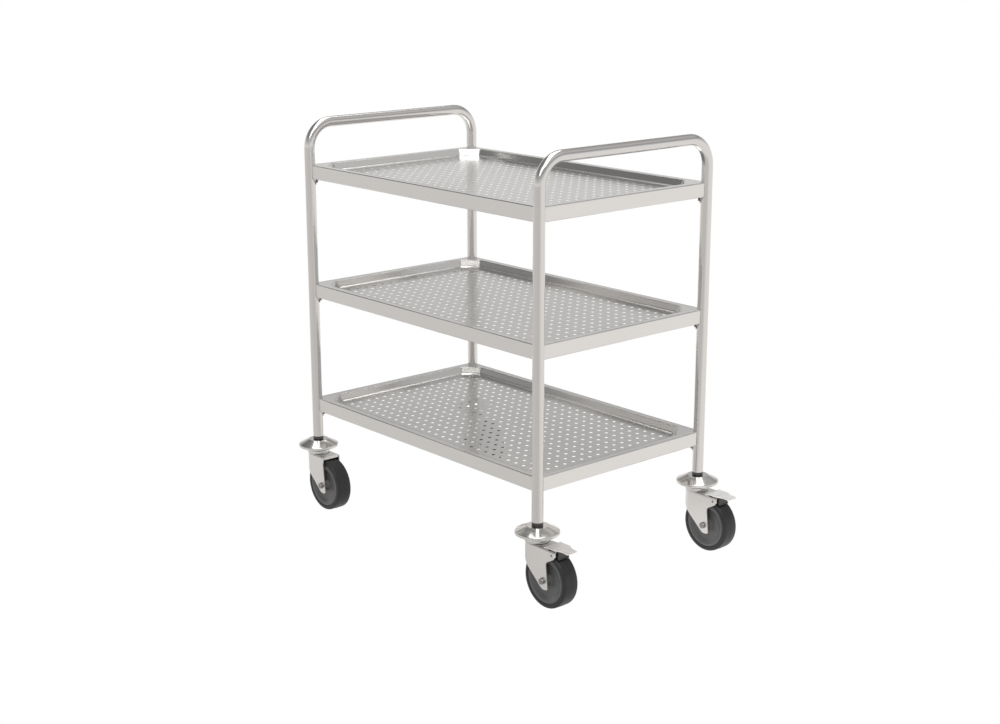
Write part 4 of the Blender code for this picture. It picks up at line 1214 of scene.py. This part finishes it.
HEAD_BOLT_MESH, NUT_MESH = axle_hex(HEAD_HEIGHT), axle_hex(NUT_HEIGHT)
SHANK_MESH = mesh_from(thread_end(), turned_grain)
for where in WHERE:
    axle = Matrix.Translation(AXLE_AT[where])
    face = FORK_OUTER + 0.05 * MM
    front = axle @ Matrix.Translation((0, -face, 0)) @ ON_SIDE
    rear = axle @ Matrix.Translation((0, face, 0)) @ Matrix.Rotation(-pi / 2, 4, "X")
    body = f"swivel_{where}"
    add_piece(f"axle_head_{where}", HEAD_BOLT_MESH, "bolt", body, [f"axle_bolt_{where}"],
              front)
    add_piece(f"axle_shank_{where}", SHANK_MESH, "zinc", body, place=rear)
    add_piece(f"lock_nut_{where}", NUT_MESH, "zinc", body, [f"axle_nut_{where}"], rear)
print("axle hardware on", len(WHERE), "forks")

# %% [markdown]
# ## Brake pedals
#
# The pedal is a tongue of plate with two cheeks that hang on a pin between the fork's ears. A curved shoe
# under it is pressed against the tyre when the tongue is trodden down. The tongue starts flat and is cut by
# a plane at the bend, and the points behind the bend are lowered, which keeps its outline exact.

# %% Pedal, shoe and pin
PEDAL_LOW, PEDAL_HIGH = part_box("brake_pedal_front_right")
PEDAL_REAR, PEDAL_REACH = (corner.x - POST_AT["front_right"].x for corner in (PEDAL_LOW, PEDAL_HIGH))
PEDAL_TOP_Z, PEDAL_REAR_HALF = PEDAL_HIGH.z, (PEDAL_HIGH.y - PEDAL_LOW.y) / 2
PEDAL_TIP_HALF, PEDAL_PLATE, PEDAL_DROP, PEDAL_FLAT = 14.5 * MM, 2 * MM, 1.8 * MM, 12 * MM
PEDAL_WAIST, TAPER_START, TAPER_END = 22 * MM, 0.42, 0.78
CHEEK_OUTER, CHEEK_EYE = FORK_INNER - 3.5 * MM, 5.5 * MM
SHOE_NEAR, SHOE_PLATE, SHOE_HALF = WHEEL_RADIUS + 3.2 * MM, 2.5 * MM, 14.5 * MM
SHOE_ARC, WEB_ARC = (radians(62.5), radians(54.5)), (radians(60), radians(57))


def pedal_plan():
    """Top view: wide at the pin, and an S-curve down each side to the narrow tip."""
    length = PEDAL_REACH - PEDAL_REAR
    steps = 14
    side = [(PEDAL_REAR, PEDAL_REAR_HALF), (PEDAL_REAR + 4 * MM, PEDAL_WAIST)]
    for i in range(steps + 1):
        share = i / steps
        along = TAPER_START + (TAPER_END - TAPER_START) * share
        half = PEDAL_TIP_HALF + (PEDAL_WAIST - PEDAL_TIP_HALF) * (1 + cos(pi * share)) / 2
        side.append((PEDAL_REAR + length * along, half))
    side += arc((PEDAL_REACH - 3 * MM, PEDAL_TIP_HALF - 3 * MM), 3 * MM, pi / 2, 0, 8)
    return side + [(x, -y) for x, y in reversed(side)]


def pedal_shape():
    """Tongue and cheeks as closed plates in one mesh, from the swivel axis."""
    bm = plate(pedal_plan(), PEDAL_TOP_Z - PEDAL_PLATE, PEDAL_TOP_Z)
    bend = PIN_X + PEDAL_FLAT
    for x in (bend, (bend + PEDAL_REACH) / 2):
        bmesh.ops.bisect_plane(bm, geom=all_of(bm), plane_co=(x, 0, 0), plane_no=(1, 0, 0))
    for vert in bm.verts:
        vert.co.z -= PEDAL_DROP * max(0, vert.co.x - bend) / (PEDAL_REACH - bend)
    for side in (-1, 1):
        near, far = sorted((side * CHEEK_OUTER, side * (CHEEK_OUTER - PEDAL_PLATE)))
        outline = arc((PIN_X, PIN_Z), CHEEK_EYE, pi, 2 * pi, 16)
        outline += [(PIN_X + CHEEK_EYE + 2 * MM, PEDAL_TOP_Z - PEDAL_PLATE / 2),
                    (PIN_X - CHEEK_EYE - 2 * MM, PEDAL_TOP_Z - PEDAL_PLATE / 2)]
        absorb(bm, plate(outline, near, far, upright=True))
    return bm


def shoe_shape():
    """A curved plate round the tyre, with a web up to the pedal."""
    (first, last), (web_first, web_last) = SHOE_ARC, WEB_ARC
    far = SHOE_NEAR + SHOE_PLATE
    under = PEDAL_TOP_Z - PEDAL_PLATE - 0.6 * MM
    outline = arc((TRAIL, AXLE_Z), SHOE_NEAR, first, last, 12)
    outline += arc((TRAIL, AXLE_Z), far, last, web_last, 4)
    outline += [(TRAIL + far * cos(web_last), under), (TRAIL + far * cos(web_first), under)]
    outline += arc((TRAIL, AXLE_Z), far, web_first, first, 4)
    return plate(outline, -SHOE_HALF, SHOE_HALF, upright=True)


def pin_profile():
    """A riveted pin with rounded ends."""
    half = FORK_OUTER + 0.6 * MM
    return rounded(mirrored([(0, half, 0), (2.5 * MM, half, 0.8 * MM)]), 4)


print("pedal from", round(PEDAL_REAR, 4), "to", round(PEDAL_REACH, 4))

# %% Make the brakes
PEDAL_MESH, SHOE_MESH = mesh_from(pedal_shape(), sheet_grain), mesh_from(shoe_shape(), sheet_grain)
PIN_MESH = mesh_from(lathe(pin_profile(), 28), turned_grain)
for where in BRAKED:
    at_post = Matrix.Translation(POST_AT[where])
    pedal = add_piece(f"foot_pedal_{where}", PEDAL_MESH, "tread", f"pedal_{where}",
                      [f"brake_pedal_{where}"], at_post)
    softened(pedal, 0.5 * MM, 3, radians(50))
    shoe = add_piece(f"tyre_shoe_{where}", SHOE_MESH, "shoe", f"pedal_{where}",
                     [f"brake_shoe_{where}"], at_post)
    softened(shoe, 0.4 * MM, 2, radians(50))
    pin_at = Matrix.Translation(PIN_AT[where]) @ ON_SIDE
    add_piece(f"pivot_pin_{where}", PIN_MESH, "bolt", f"swivel_{where}",
              [f"brake_pin_{where}"], pin_at)
print("brakes on", ", ".join(BRAKED))
